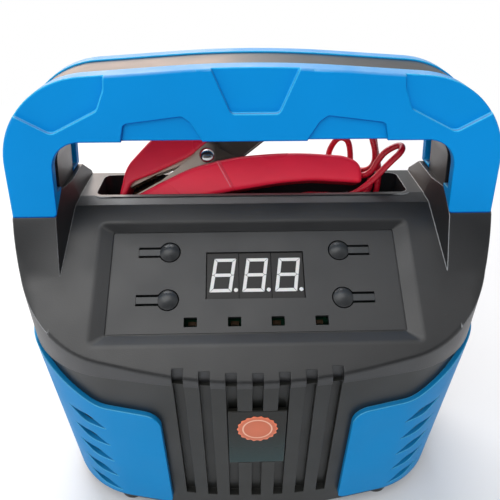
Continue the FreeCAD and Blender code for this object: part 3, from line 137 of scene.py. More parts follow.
def linear(code):
    """An sRGB hex colour as linear red, green and blue."""
    parts = [int(code[i:i + 2], 16) / 255 for i in (1, 3, 5)]
    return tuple(p / 12.92 if p <= 0.04045 else ((p + 0.055) / 1.055) ** 2.4 for p in parts)


def size(name, default, description):
    """A length that a user may change."""
    return FloatProperty(name=name, default=default, description=description, min=0.0, unit="LENGTH",
                         precision=5)


def tint(name, code, description):
    """A colour that a user may change."""
    return FloatVectorProperty(name=name, default=linear(code), description=description, size=3,
                               subtype="COLOR", min=0.0, max=1.0)


class ChargerSizes(bpy.types.PropertyGroup):
    """Sizes that a user may change."""
    lead_diameter: size("Lead diameter", 0.0027, "Outer diameter of both leads")
    edge_round: size("Edge round", 0.00045, "Radius that the moulded edges catch the light with")
    sticker_diameter: size("Sticker diameter", 0.016, "Diameter of the round sticker on the front")
    sticker_thickness: size("Sticker thickness", 0.0002, "How far the sticker stands off its plate")
    sticker_height: size("Sticker height", 0.0635, "Height of the sticker's middle above the floor")


class ChargerColours(bpy.types.PropertyGroup):
    """Colours that a user may change."""
    housing: tint("Housing", "#1B1C1E", "Black textured housing")
    lower: tint("Lower body", "#1A1B19", "Black body below the parting line")
    core: tint("Handle core", "#1C1D1F", "Middle of the handle")
    handle: tint("Handle", "#008BD6", "Blue covers of the handle")
    guard: tint("Guards", "#0883C2", "Blue guards on the corners")
    clamp: tint("Red clamp", "#FF2B49", "Insulators of the red clamp")
    lead: tint("Red lead", "#C01029", "Sheath of the red lead")
    sticker: tint("Sticker", "#CC6C4C", "Round sticker")
    display: tint("Display", "#252424", "Face of the digit blocks")
    segment: tint("Segments", "#E3E1E0", "Unlit bars of the digits")


def feed(tree, made, links):
    """Gives a node's sockets a value, an output, or the first output in use of another node."""
    for key, value in links.items():
        if isinstance(value, bpy.types.Node):
            value = next(output for output in value.outputs if output.enabled)
        if isinstance(value, bpy.types.NodeSocket):
            tree.links.new(value, made.inputs[key])
        else:
            made.inputs[key].default_value = value


def node(tree, kind, links=None, **settings):
    """Adds a node with its settings and links."""
    made = tree.nodes.new(kind)
    for key, value in settings.items():
        setattr(made, key, value)
    feed(tree, made, links or {})
    return made


def new_material(name, colour, roughness, metallic=0.0, **sockets):
    """A material with one shader, and that shader's plain values."""
    made = bpy.data.materials.new(name)
    made.use_nodes = True
    shader = made.node_tree.nodes["Principled BSDF"]
    plain = {"Base_Color": (*colour, 1.0), "Roughness": roughness, "Metallic": metallic, **sockets}
    feed(made.node_tree, shader, {key.replace("_", " "): value for key, value in plain.items()})
    return made, made.node_tree, shader


def spot(tree):
    """Where a point lies in its object's own frame, in metres."""
    if tree.bl_idname == "GeometryNodeTree":
        return node(tree, "GeometryNodeInputPosition").outputs["Position"]
    return node(tree, "ShaderNodeTexCoord").outputs["Object"]


def axes(tree):
    """The same, as x, y and z."""
    return node(tree, "ShaderNodeSeparateXYZ", {"Vector": spot(tree)}).outputs


def noise(tree, size_mm, detail=2.0, stretch=(1.0, 1.0, 1.0)):
    """Cloudy pattern whose blotches are about size_mm across."""
    placed = node(tree, "ShaderNodeMapping", {"Vector": spot(tree), "Scale": stretch})
    return node(tree, "ShaderNodeTexNoise", {"Vector": placed, "Scale": 1 / (size_mm * MM),
                                             "Detail": detail})


def uneven(tree, size_mm, detail, low, high, stretch=(1.0, 1.0, 1.0)):
    """A value that wanders between low and high in blotches of size_mm."""
    return node(tree, "ShaderNodeMapRange", {"Value": noise(tree, size_mm, detail, stretch),
                                             "From Min": 0.3, "From Max": 0.7,
                                             "To Min": low, "To Max": high})


def shades(tree, factor, stops):
    """Colours that follow a pattern, through (position, colour) pairs."""
    ramp = node(tree, "ShaderNodeValToRGB", {"Fac": factor})
    while len(ramp.color_ramp.elements) < len(stops):
        ramp.color_ramp.elements.new(0.5)
    for element, (position, colour) in zip(ramp.color_ramp.elements, stops):
        element.position = position
        element.color = (*colour, 1.0)
    return ramp


def scaled(colour, share):
    """A colour made darker or paler."""
    return tuple(min(1.0, c * share) for c in colour)


def mottled(tree, colour, size_mm, detail, dark, pale, stretch=(1.0, 1.0, 1.0)):
    """A colour that wanders between a darker and a paler share of itself in blotches of size_mm."""
    return shades(tree, noise(tree, size_mm, detail, stretch),
                  ((0.3, scaled(colour, dark)), (0.7, scaled(colour, pale))))


def skin(tree, height, depth_mm, edge_round=None):
    """Normal of a surface: a fine relief, and edges that catch the light where a radius is given."""
    bump = node(tree, "ShaderNodeBump", {"Height": height, "Distance": depth_mm * MM})
    if edge_round is not None:
        feed(tree, bump, {"Normal": node(tree, "ShaderNodeBevel", {"Radius": edge_round}, samples=6)})
    return bump


def dust_and_sheen(tree, colour, amount, dust_and_sheen_colour=(0.36, 0.35, 0.33)):
    """A thin film on faces that look up, broken into blotches and specks: grey dust, and with a pale colour
    and a large amount, painted sheen.
    """
    facing = node(tree, "ShaderNodeNewGeometry").outputs["Normal"]
    up = node(tree, "ShaderNodeSeparateXYZ", {"Vector": facing}).outputs["Z"]
    level = node(tree, "ShaderNodeMapRange", {"Value": up, "From Min": 0.2, "To Max": amount})
    blotches = node(tree, "ShaderNodeMath", {0: level, 1: noise(tree, 14.0, 5.0)}, operation="MULTIPLY")
    # One speck of about 0.4 mm at most in each cell of 6 mm, and most cells have none
    cells = node(tree, "ShaderNodeTexVoronoi", {"Vector": spot(tree), "Scale": 1 / (6.0 * MM)})
    speck = node(tree, "ShaderNodeMapRange", {"Value": cells.outputs["Distance"], "From Min": 0.045,
                                              "From Max": 0.02})
    chance = node(tree, "ShaderNodeSeparateColor", {"Color": cells.outputs["Color"]}).outputs["Red"]
    rare = node(tree, "ShaderNodeMapRange", {"Value": chance, "From Min": 0.80, "To Max": 0.8})
    specks = node(tree, "ShaderNodeMath", {0: speck, 1: rare}, operation="MULTIPLY")
    lying = node(tree, "ShaderNodeMath", {0: specks, 1: level}, operation="MULTIPLY")
    scattered = node(tree, "ShaderNodeMath", {0: lying, 1: SPECK_DENSITY}, operation="MULTIPLY")
    film = node(tree, "ShaderNodeMath", {0: blotches, 1: scattered}, operation="MAXIMUM")
    return node(tree, "ShaderNodeMix", {"Factor": film, "A": colour, "B": (*dust_and_sheen_colour, 1.0)},
                data_type="RGBA")


def edges(tree, reach, flat_match, edge_match, most=1.0):
    """How far a point lies on an edge, from 0 to most, and the way that edge looks."""
    flat = node(tree, "ShaderNodeNewGeometry").outputs["Normal"]
    bent = node(tree, "ShaderNodeBevel", {"Radius": reach}, samples=8)
    match = node(tree, "ShaderNodeVectorMath", {0: flat, 1: bent}, operation="DOT_PRODUCT")
    share = node(tree, "ShaderNodeMapRange", {"Value": match, "From Min": flat_match,
                                              "From Max": edge_match, "To Max": most})
    return share, bent


def painted_rims(tree, colour, reach, glint, shade, flat_match=0.995, edge_match=0.93):
    """Painted highlight and painted shade on edges: pale where an edge looks up or to the left, dark where
    it looks down.
    """
    edge, bent = edges(tree, reach, flat_match, edge_match)
    way = node(tree, "ShaderNodeVectorMath", {0: bent, 1: LIT_SIDE}, operation="DOT_PRODUCT")
    for (low, high), tone in ((PALE_TURN, glint), (DEEP_TURN, shade)):
        turned = node(tree, "ShaderNodeMapRange", {"Value": way, "From Min": low, "From Max": high})
        share = node(tree, "ShaderNodeMath", {0: edge, 1: turned}, operation="MULTIPLY")
        colour = node(tree, "ShaderNodeMix", {"Factor": share, "A": colour, "B": (*tone, 1.0)},
                      data_type="RGBA")
    return colour


def outward(tree, sides):
    """Grows from 0 at the first |x| to 1 at the second."""
    across = node(tree, "ShaderNodeMath", {0: axes(tree)["X"]}, operation="ABSOLUTE")
    return node(tree, "ShaderNodeMapRange", {"Value": across, "From Min": sides[0], "From Max": sides[1]})


def outer_painted_rims(tree, colour, reach, glint):
    """Painted highlights on the shell's edges outside its panel, with near black painted shade on edges that
    look down.
    """
    edged = painted_rims(tree, colour, reach, glint, scaled(glint, 0.02))
    return node(tree, "ShaderNodeMix", {"Factor": outward(tree, PANEL_SIDE), "A": colour, "B": edged},
                data_type="RGBA")


def leg_blend(tree, edge_round):
    """Edge radius of the shell: wide where the foot of each leg runs out into the deck, small elsewhere."""
    off = node(tree, "ShaderNodeMath", {0: axes(tree)["Z"], 1: LEG_RUN_OUT}, operation="SUBTRACT")
    apart = node(tree, "ShaderNodeMath", {0: off}, operation="ABSOLUTE")
    level = node(tree, "ShaderNodeMapRange", {"Value": apart, "From Min": LEG_RUN_OUT_REACH[0],
                                              "From Max": LEG_RUN_OUT_REACH[1],
                                              "To Min": 1.0, "To Max": 0.0})
    share = node(tree, "ShaderNodeMath", {0: outward(tree, LEG_SIDE), 1: level}, operation="MULTIPLY")
    return node(tree, "ShaderNodeMapRange", {"Value": share, "To Min": edge_round,
                                             "To Max": LEG_RUN_OUT_ROUND})


def abs_grained(name, colour, edge_round, grain_mm=0.55, depth_mm=0.035, roughness=(0.36, 0.48),
                film=0.03, level=0.75, glint=None):
    """ABS out of a spark-eroded mould: an even fine grain that turns highlights into a soft sheen.

    The real grain is about 0.1 mm and too fine to show, so it is drawn coarser.
    """
    made, tree, shader = new_material(name, colour, 0.5, IOR=1.53, Specular_IOR_Level=level)
    tone = mottled(tree, colour, 45.0, 3.0, 0.92, 1.08)
    # A glint colour paints highlights on the shell's outer edges
    if glint:
        tone = outer_painted_rims(tree, tone, edge_round * RIM_SHARE, glint)
        edge_round = leg_blend(tree, edge_round)
    feed(tree, shader, {"Base Color": dust_and_sheen(tree, tone, film),
                        "Roughness": uneven(tree, 20.0, 4.0, *roughness),
                        "Normal": skin(tree, noise(tree, grain_mm), depth_mm, edge_round)})
    return made


def abs_satin(name, colour, edge_round, glint, shade, roughness, film, level):
    """Coloured ABS from a finely blasted mould: satin, with painted highlights and painted shade on its
    edges.

    The blasting is about 0.05 mm across and too fine to show, so it is drawn coarser.
    """
    made, tree, shader = new_material(name, colour, 0.36, IOR=1.53, Specular_IOR_Level=level)
    tone = mottled(tree, colour, 60.0, 2.0, 0.95, 1.05)
    edged = painted_rims(tree, tone, edge_round * RIM_SHARE, glint, shade)
    # The pale blue film is painted sheen on faces that look up where its amount is large, as on the handle
    feed(tree, shader, {"Base Color": dust_and_sheen(tree, edged, film, linear("#CFE6EE")),
                        "Roughness": uneven(tree, 16.0, 4.0, *roughness),
                        "Normal": skin(tree, noise(tree, 0.4, 1.0), 0.010, edge_round)})
    return made


def soft_vinyl(name, colour, edge_round, glint):
    """Soft PVC insulator of a clamp: a saturated colour, a broad waxy highlight, painted highlights and
    painted shade on its edges, and faint flow marks along it."""
    made, tree, shader = new_material(name, colour, 0.3, IOR=1.52, Subsurface_Weight=0.04,
                                      Subsurface_Scale=0.002)
    tone = mottled(tree, colour, 9.0, 3.0, 0.92, 1.06, (0.4, 1.0, 1.0))
    feed(tree, shader, {"Base Color": painted_rims(tree, tone, 0.9 * MM, glint, scaled(colour, 0.35), 0.975, 0.90),
                        "Roughness": uneven(tree, 25.0, 1.0, 0.24, 0.36),
                        "Normal": skin(tree, noise(tree, 0.9, 3.0), 0.012, edge_round)})
    return made


def vinyl_sheath(name, colour):
    """Extruded PVC sheath of a lead: glossy, with a faint unevenness from the die."""
    made, tree, shader = new_material(name, colour, 0.3, IOR=1.5, Coat_Weight=0.2, Coat_Roughness=0.08)
    feed(tree, shader, {"Base Color": mottled(tree, colour, 5.0, 3.0, 0.86, 1.12),
                        "Roughness": uneven(tree, 3.0, 3.0, 0.24, 0.38),
                        "Normal": skin(tree, noise(tree, 0.7), 0.02)})
    return made


def metal(name, colour, roughness, grain_mm, depth_mm, stretch=(1.0, 1.0, 1.0), tarnish=None):
    """Bare or plated metal: its grain runs along stretch, and tarnish gathers in blotches.

    The real grain is a few hundredths of a millimetre, so it is drawn coarser.
    """
    made, tree, shader = new_material(name, colour, sum(roughness) / 2, 1.0)
    stain = tarnish or scaled(colour, 0.72)
    feed(tree, shader, {"Base Color": shades(tree, noise(tree, 7.0, 5.0), ((0.35, stain), (0.62, colour))),
                        "Roughness": uneven(tree, grain_mm * 3, 3.0, *roughness, stretch),
                        "Normal": skin(tree, noise(tree, grain_mm, 2.0, stretch), depth_mm, SMALL_ROUND)})
    return made


def plating_with_painted_shade(name, bright, bare, rivet_x):
    """Nickel plated jaw: bright and warm up to its rivet, and behind it dark as painted shade, whose colour
    is passed in as bare.
    """
    made, tree, shader = new_material(name, bright, 0.3, 0.4)
    painted_shade = node(tree, "ShaderNodeMapRange", {"Value": axes(tree)["X"], "From Min": rivet_x + SHADE_RUN[0],
                                             "From Max": rivet_x + SHADE_RUN[1]})
    patchy = node(tree, "ShaderNodeMath", {0: noise(tree, 5.0, 4.0), 1: 0.25, 2: -0.12},
                  operation="MULTIPLY_ADD")
    share = node(tree, "ShaderNodeMath", {0: painted_shade, 1: patchy}, operation="ADD", use_clamp=True)
    tone = node(tree, "ShaderNodeMix", {"Factor": share, "A": (*bright, 1.0), "B": (*bare, 1.0)},
                data_type="RGBA")
    along = (0.2, 1.0, 1.0)
    feed(tree, shader, {"Base Color": tone,
                        "Roughness": uneven(tree, 1.5, 3.0, 0.36, 0.48, along),
                        "Normal": skin(tree, noise(tree, 1.5, 3.0, along), 0.004, SMALL_ROUND)})
    return made


def digit_face(name, colour):
    """Printed epoxy face of a digit block: dark grey, dead flat, with its print short of the black edges."""
    made, tree, shader = new_material(name, colour, 0.42, IOR=1.55, Specular_IOR_Level=0.35)
    edge, _ = edges(tree, 0.35 * MM, 0.999, 0.97, 0.9)
    printed = node(tree, "ShaderNodeMix", {"Factor": edge, "A": mottled(tree, colour, 0.5, 2.0, 0.9, 1.1),
                                           "B": (*linear("#0A0A0A"), 1.0)}, data_type="RGBA")
    feed(tree, shader, {"Base Color": printed,
                        "Normal": skin(tree, noise(tree, 0.3, 1.0), 0.003, 0.15 * MM)})
    return made


def digit_bar(name, colour):
    """Cast epoxy light bar, unlit: milky, a little glossy and faintly cloudy."""
    made, tree, shader = new_material(name, colour, 0.28, IOR=1.55, Subsurface_Weight=0.15,
                                      Subsurface_Scale=0.001)
    feed(tree, shader, {"Base Color": mottled(tree, colour, 1.6, 3.0, 0.94, 1.0)})
    return made


def circuit_board(name):
    """Green solder mask over copper: darker lanes, with a gloss that the lamps pick out."""
    green = linear("#123022")
    made, tree, shader = new_material(name, green, 0.25, IOR=1.5, Coat_Weight=0.2)
    lanes = node(tree, "ShaderNodeTexBrick", {
        "Vector": spot(tree), "Scale": 1.0, "Mortar Size": 0.6 * MM, "Brick Width": 11.0 * MM,
        "Row Height": 3.1 * MM, "Color1": (*green, 1.0), "Color2": (*scaled(green, 0.8), 1.0),
        "Mortar": (*scaled(green, 1.5), 1.0)})
    feed(tree, shader, {"Base Color": lanes, "Normal": skin(tree, lanes.outputs["Fac"], 0.03)})
    return made


def moulded_component(name, colour, roughness=(0.35, 0.5)):
    """Moulded case of a small component: matt where blasted, with blunt edges."""
    made, tree, shader = new_material(name, colour, 0.42, IOR=1.55)
    feed(tree, shader, {"Base Color": mottled(tree, colour, 3.0, 3.0, 0.85, 1.15),
                        "Roughness": uneven(tree, 2.0, 3.0, *roughness),
                        "Normal": skin(tree, noise(tree, 0.3), 0.008, SMALL_ROUND)})
    return made


def rubber(name, colour):
    """Black nitrile rubber: no gloss, a greyish bloom and a coarse skin."""
    made, tree, shader = new_material(name, colour, 0.7, IOR=1.52, Sheen_Weight=0.15, Sheen_Roughness=0.5)
    bloom = shades(tree, noise(tree, 4.0, 5.0), ((0.35, colour), (0.75, scaled(colour, 1.7))))
    feed(tree, shader, {"Base Color": bloom,
                        "Roughness": uneven(tree, 2.0, 3.0, 0.6, 0.8),
                        "Normal": skin(tree, noise(tree, 0.6, 3.0), 0.03, 0.4 * MM)})
    return made


def acrylic_plate(name):
    """Smoked acrylic insert: near black, glossy, with a cold tint low down, a painted reflection of the
    bench.
    """
    made, tree, shader = new_material(name, linear("#1B1C1B"), 0.22, IOR=1.49, Specular_IOR_Level=0.3)
    low = node(tree, "ShaderNodeMapRange", {"Value": axes(tree)["Z"], "From Min": PLATE_TINT[0],
                                            "From Max": PLATE_TINT[1]})
    tone = shades(tree, low, ((0.0, linear("#1D1D1A")), (1.0, linear("#1C3536"))))
    feed(tree, shader, {"Base Color": tone, "Normal": skin(tree, noise(tree, 0.8, 3.0), 0.004, 0.3 * MM)})
    return made


def banded_metal(name, colour, roughness, metallic, axis, pitch_mm, wobble, stops, depth_mm):
    """Metal in even layers of pitch_mm, which show as dark and pale bands along an axis."""
    made, tree, shader = new_material(name, linear(colour), roughness, metallic)
    # The wave turns by 20 times its scale per metre, in radians
    bands = node(tree, "ShaderNodeTexWave", {"Vector": spot(tree), "Scale": math.pi / (10 * pitch_mm * MM),
                                             "Distortion": wobble},
                 wave_type="BANDS", bands_direction=axis).outputs["Fac"]
    tone = shades(tree, bands, [(position, linear(code)) for position, code in stops])
    feed(tree, shader, {"Base Color": tone, "Normal": skin(tree, bands, depth_mm, 0.3 * MM)})
    return made


def laminated_steel(name):
    """Stacked silicon steel sheets, varnished: fine lines across a dull grey.

    A real sheet is 0.5 mm. Each band stands for two sheets, so that the lines show.
    """
    return banded_metal(name, "#6B6E72", 0.45, 0.9, "Y", 1.047, 0.3, ((0.2, "#3D3F42"), (0.6, "#7A7D82")),
                        0.03)


def copper_winding(name):
    """Enamelled copper wire of 1.26 mm laid turn by turn: orange brown bands with a varnish gloss."""
    return banded_metal(name, "#9A4A1E", 0.3, 0.8, "Z", 1.257, 0.6, ((0.15, "#4F200C"), (0.6, "#B4622C")),
                        0.15)


def sticker_vinyl(name, colour, radius):
    """Printed vinyl: a paler scalloped rim, a thin line and a bare middle, with a satin laminate."""
    made, tree, shader = new_material(name, colour, 0.32, IOR=1.48)
    reach = node(tree, "ShaderNodeVectorMath", {0: spot(tree)}, operation="LENGTH")
    share = node(tree, "ShaderNodeMath", {0: reach, 1: radius}, operation="DIVIDE")
    line, rim = linear("#E9B79F"), scaled(colour, 1.35)
    tone = shades(tree, share, ((0.0, scaled(colour, 1.05)), (0.66, scaled(colour, 0.95)), (0.68, line),
                                (0.73, line), (0.75, colour), (0.88, colour), (0.92, rim), (1.0, rim)))
    feed(tree, shader, {"Base Color": tone, "Normal": skin(tree, noise(tree, 1.2, 3.0), 0.01)})
    return made


def new_group(name):
    """A geometry node group with one way in and one way out, and its input node."""
    tree = bpy.data.node_groups.new(name, "GeometryNodeTree")
    for way in ("INPUT", "OUTPUT"):
        tree.interface.new_socket("Geometry", in_out=way, socket_type="NodeSocketGeometry")
    return tree, node(tree, "NodeGroupInput")


def crease_nodes():
    """Joins the faces of a CAD node along their seams, and keeps a crease where they meet at an angle."""
    tree, start = new_group("joined_faces")
    joined = node(tree, "GeometryNodeMergeByDistance", {"Geometry": start, "Distance": 0.001 * MM})
    soft = node(tree, "GeometryNodeSetShadeSmooth", {"Geometry": joined, "Shade Smooth": True})
    # The well's lip is a flat band with shallow edges, which stay crisp
    axis, apart = axes(tree), []
    for key, middle in zip("YZ", LIP_MIDDLE):
        off = node(tree, "ShaderNodeMath", {0: axis[key], 1: middle}, operation="SUBTRACT")
        apart.append(node(tree, "ShaderNodeMath", {0: off}, operation="ABSOLUTE"))
    furthest = node(tree, "ShaderNodeMath", {0: apart[0], 1: apart[1]}, operation="MAXIMUM")
    least = node(tree, "ShaderNodeMapRange", {
        "Value": furthest, "From Min": LIP_REACH, "From Max": LIP_REACH + 0.1 * MM,
        "To Min": math.radians(LIP_CREASE_ANGLE), "To Max": math.radians(CREASE_ANGLE)})
    angle = node(tree, "GeometryNodeInputMeshEdgeAngle").outputs["Unsigned Angle"]
    sharp = node(tree, "FunctionNodeCompare", {"A": angle, "B": least}, operation="GREATER_THAN")
    creased = node(tree, "GeometryNodeSetShadeSmooth", {"Geometry": soft, "Selection": sharp,
                                                        "Shade Smooth": False}, domain="EDGE")
    node(tree, "NodeGroupOutput", {0: creased})
    return tree


def flush_nodes():
    """Lays the post tops that come through the deck flush with it."""
    tree, start = new_group("flush_posts")
    axis = axes(tree)
    across = node(tree, "ShaderNodeMath", {0: axis["X"]}, operation="ABSOLUTE")
    seen = node(tree, "ShaderNodeCombineXYZ", {"X": across, "Y": axis["Y"]})
    apart = node(tree, "ShaderNodeVectorMath", {0: seen, 1: (*POST_PLACE, 0.0)}, operation="DISTANCE")
    near = node(tree, "FunctionNodeCompare", {"A": apart, "B": POST_REACH}, operation="LESS_THAN")
    back = node(tree, "ShaderNodeMath", {0: axis["Y"], 1: DECK_POINT[0]}, operation="SUBTRACT")
    deck = node(tree, "ShaderNodeMath", {0: back, 1: DECK_RISE, 2: DECK_POINT[1]}, operation="MULTIPLY_ADD")
    above = node(tree, "FunctionNodeCompare", {"A": axis["Z"], "B": deck}, operation="GREATER_THAN")
    proud = node(tree, "FunctionNodeBooleanMath", {0: near, 1: above}, operation="AND")
    flush = node(tree, "ShaderNodeCombineXYZ", {"X": axis["X"], "Y": axis["Y"], "Z": deck})
    moved = node(tree, "GeometryNodeSetPosition", {"Geometry": start, "Selection": proud,
                                                   "Position": flush})
    node(tree, "NodeGroupOutput", {0: moved})
    return tree


def dress(material, *names, first=None):
    """Gives CAD nodes their finish, with flat faces that shade flat beside their fillets."""
    creases = bpy.data.node_groups.get("joined_faces") or crease_nodes()
    for name in names:
        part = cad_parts[name]
        part.data.materials.clear()
        part.data.materials.append(material)
        for group in filter(None, (first, creases)):
            part.modifiers.new(group.name, "NODES").node_group = group
        flat = part.modifiers.new("flat_faces", "WEIGHTED_NORMAL")
        flat.keep_sharp = True
        flat.weight = FLAT_WEIGHT


def add_object(name, data, finish):
    """Puts a mesh or a curve with one finish into the scene."""
    data.materials.append(finish)
    made = bpy.data.objects.new(name, data)
    bpy.context.scene.collection.objects.link(made)
    return made


def add_mesh(name, built, finish):
    """Turns a bmesh into an object with one finish."""
    mesh = bpy.data.meshes.new(name)
    built.to_mesh(mesh)
    built.free()
    return add_object(name, mesh, finish)


def smooth(made, angle=40.0):
    """Soft shading, with creases where faces meet at more than the angle."""
    for face in made.data.polygons:
        face.use_smooth = True
    made.data.set_sharp_from_angle(angle=math.radians(angle))


class CHARGER_OT_stage(bpy.types.Operator):
    """Sets the camera, the floor and the soft studio light."""
    bl_idname = "charger.stage"
    bl_label = "Studio"

    def execute(self, context):
        scene = context.scene
        scene.view_settings.view_transform = "Standard"
        self.camera(scene)
        for name, values in LIGHTS.items():
            self.light(scene, name, *values)
        self.world(scene)
        self.floor()
        return {"FINISHED"}

    def camera(self, scene):
        """The photograph's own view."""
        down, aside, roll = (math.radians(a) for a in (CAMERA_DOWN, CAMERA_ASIDE, CAMERA_ROLL))
        forward = Vector((math.sin(aside) * math.cos(down), math.cos(aside) * math.cos(down),
                          -math.sin(down)))
        level = Vector((math.cos(aside), -math.sin(aside), 0.0))
        right = level * math.cos(roll) + forward.cross(level) * math.sin(roll)
        turned = Matrix((right, right.cross(forward), -forward)).transposed()
        camera = bpy.data.objects.new("camera", bpy.data.cameras.new("camera"))
        camera.data.angle = math.radians(CAMERA_FOV)
        camera.data.clip_start = CAMERA_NEAR
        camera.data.shift_y = CAMERA_SHIFT
        camera.matrix_world = Matrix.Translation(CAMERA_PLACE) @ turned.to_4x4()
        scene.collection.objects.link(camera)
        scene.camera = camera

    def light(self, scene, name, place, aim, extent, watts, colour):
        """One soft box. The fill in front is left out of the gloss, as it would whiten the panel."""
        lamp = bpy.data.lights.new(name, "AREA")
        lamp.shape = "RECTANGLE"
        lamp.size, lamp.size_y = extent
        lamp.energy = watts
        lamp.color = colour
        made = bpy.data.objects.new(name, lamp)
        made.location = place
        made.rotation_euler = (Vector(aim) - Vector(place)).to_track_quat("-Z", "Y").to_euler()
        made.visible_glossy = name != "front_fill"
        scene.collection.objects.link(made)

    def world(self, scene):
        """A pale room, darker at its right and front, with plain white behind the object."""
        world = bpy.data.worlds.new("room")
        world.use_nodes = True
        tree = world.node_tree
        ray = node(tree, "ShaderNodeLightPath").outputs
        through = node(tree, "ShaderNodeMath", {0: ray["Is Camera Ray"], 1: ray["Is Transmission Ray"]},
                       operation="MAXIMUM")
        way = node(tree, "ShaderNodeTexCoord").outputs["Generated"]
        side = node(tree, "ShaderNodeSeparateXYZ", {"Vector": way}).outputs
        # What the gloss mirrors of the room dims to 0.45 at its right and to 0.12 in front
        right = node(tree, "ShaderNodeMapRange", {"Value": side["X"], "From Min": -0.45, "From Max": 0.6,
                                                  "To Min": 1.0, "To Max": 0.45})
        front = node(tree, "ShaderNodeMapRange", {"Value": side["Y"], "From Min": -0.75,
                                                  "From Max": -0.3, "To Min": 0.12, "To Max": 1.0})
        walls = node(tree, "ShaderNodeMath", {0: right, 1: front}, operation="MULTIPLY")
        room = node(tree, "ShaderNodeBackground", {"Color": (0.95, 0.97, 1.0, 1.0), "Strength": 0.45})
        mirrored = node(tree, "ShaderNodeBackground", {"Color": WHITE, "Strength": walls})
        white = node(tree, "ShaderNodeBackground", {"Color": WHITE, "Strength": 1.0})
        gloss = node(tree, "ShaderNodeMixShader", {0: ray["Is Glossy Ray"], 1: room, 2: mirrored})
        mixed = node(tree, "ShaderNodeMixShader", {0: through, 1: gloss, 2: white})
        feed(tree, tree.nodes["World Output"], {"Surface": mixed})
        scene.world = world

    def floor(self):
        """A pale painted bench that runs out into the white backdrop."""
        built = bmesh.new()
        bmesh.ops.create_grid(built, x_segments=1, y_segments=1, size=BENCH_HALF)
        pale, tree, shader = new_material("painted_bench", linear("#E9EAEC"), 0.55)
        tone = shades(tree, noise(tree, 300.0), ((0.3, linear("#E6E7E9")), (0.7, linear("#ECEDEF"))))
        feed(tree, shader, {"Base Color": tone})
        place = node(tree, "ShaderNodeNewGeometry").outputs["Position"]
        off = node(tree, "ShaderNodeVectorMath", {0: place}, operation="LENGTH")
        far = node(tree, "ShaderNodeMapRange", {"Value": off, "From Min": BENCH_FADE[0],
                                                "From Max": BENCH_FADE[1]},
                   interpolation_type="SMOOTHSTEP")
        seen = node(tree, "ShaderNodeLightPath").outputs["Is Camera Ray"]
        share = node(tree, "ShaderNodeMath", {0: far, 1: seen}, operation="MULTIPLY")
        white = node(tree, "ShaderNodeEmission", {"Color": WHITE, "Strength": 1.0})
        faded = node(tree, "ShaderNodeMixShader", {0: share, 1: shader, 2: white})
        feed(tree, tree.nodes["Material Output"], {"Surface": faded})
        add_mesh("bench", built, pale)


class CHARGER_OT_leads(bpy.types.Operator):
    """Lays the red and the black lead from their bushes to their clamps."""
    bl_idname = "charger.leads"
    bl_label = "Leads"

    def execute(self, context):
        diameter = context.scene.charger_sizes.lead_diameter
        red = vinyl_sheath("pvc_sheath_red", context.scene.charger_colours.lead)
        black = vinyl_sheath("pvc_sheath_black", linear("#1B1C1E"))
        for colour, route, length, finish in (("red", RED_ROUTE, 0.342, red),
                                              ("black", BLACK_ROUTE, 0.148, black)):
            lead = self.lay(f"lead_{colour}_sheath", route, diameter, finish)
            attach(lead, "housing")
            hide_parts(f"lead_{colour}")
        return {"FINISHED"}

    def lay(self, name, route, diameter, finish):
        """One lead as a round NURBS line through its route."""
        curve = bpy.data.curves.new(name, "CURVE")
        curve.dimensions = "3D"
        curve.bevel_depth = diameter / 2
        curve.bevel_resolution = 5
        curve.resolution_u = 10
        curve.use_fill_caps = True
        spline = curve.splines.new("NURBS")
        spline.points.add(len(route) - 1)
        for point, place in zip(spline.points, route):
            point.co = (*place, 1.0)
        spline.order_u = 3
        spline.use_endpoint_u = True
        return add_object(name, curve, finish)


class CHARGER_OT_housing(bpy.types.Operator):
    """Finishes the upper and the lower shell, the feet and the bushes."""
    bl_idname = "charger.housing"
    bl_label = "Housing"

    def execute(self, context):
        colours, edge = context.scene.charger_colours, context.scene.charger_sizes.edge_round
        # The pale grey glint is painted highlight on the edges outside the panel
        dress(abs_grained("abs_spark_eroded_black", colours.housing, edge, glint=linear("#9A9C9E")),
              "upper_shell", first=flush_nodes())
        # Blasted finer than the upper shell, so it looks a little smoother and darker
        dress(abs_grained("abs_blasted_black", colours.lower, edge, grain_mm=0.35, depth_mm=0.015,
                          roughness=(0.34, 0.46), level=0.5), "lower_shell")
        dress(rubber("nitrile_rubber_black", linear("#1D1D1E")), "rubber_feet", "mains_gland", "lead_glands")
        return {"FINISHED"}


class CHARGER_OT_handle(bpy.types.Operator):
    """Finishes the handle's black core and its blue covers."""
    bl_idname = "charger.handle"
    bl_label = "Handle"

    def execute(self, context):
        colours, edge = context.scene.charger_colours, context.scene.charger_sizes.edge_round
        # Hands and dust have dulled the covers, so they hardly mirror anything. Their large pale film is
        # painted sheen on the faces that look up.
        dress(abs_satin("abs_blasted_blue", colours.handle, edge * 1.8, linear("#3FC6FA"), linear("#0556B4"),
                        roughness=(0.42, 0.55), film=0.5, level=0.08),
              "handle_cover_front", "handle_cover_rear")
        # Smoother than the shell, with a soft sheen
        dress(abs_grained("abs_satin_core", colours.core, edge, grain_mm=0.4, depth_mm=0.012,
                          roughness=(0.30, 0.42), film=0.04, level=0.45), "handle_core")
        return {"FINISHED"}


class CHARGER_OT_guards(bpy.types.Operator):
    """Finishes the two louvred corner guards."""
    bl_idname = "charger.guards"
    bl_label = "Corner guards"

    def execute(self, context):
        colours, edge = context.scene.charger_colours, context.scene.charger_sizes.edge_round
        # The same satin blue as the handle, a little greener and with little of its pale film of painted
        # sheen
        dress(abs_satin("abs_guard_blue", colours.guard, edge * 1.4, linear("#58B4DE"), linear("#0A4C8C"),
                        roughness=(0.40, 0.52), film=0.03, level=0.08),
              "side_guard_left", "side_guard_right")
        return {"FINISHED"}


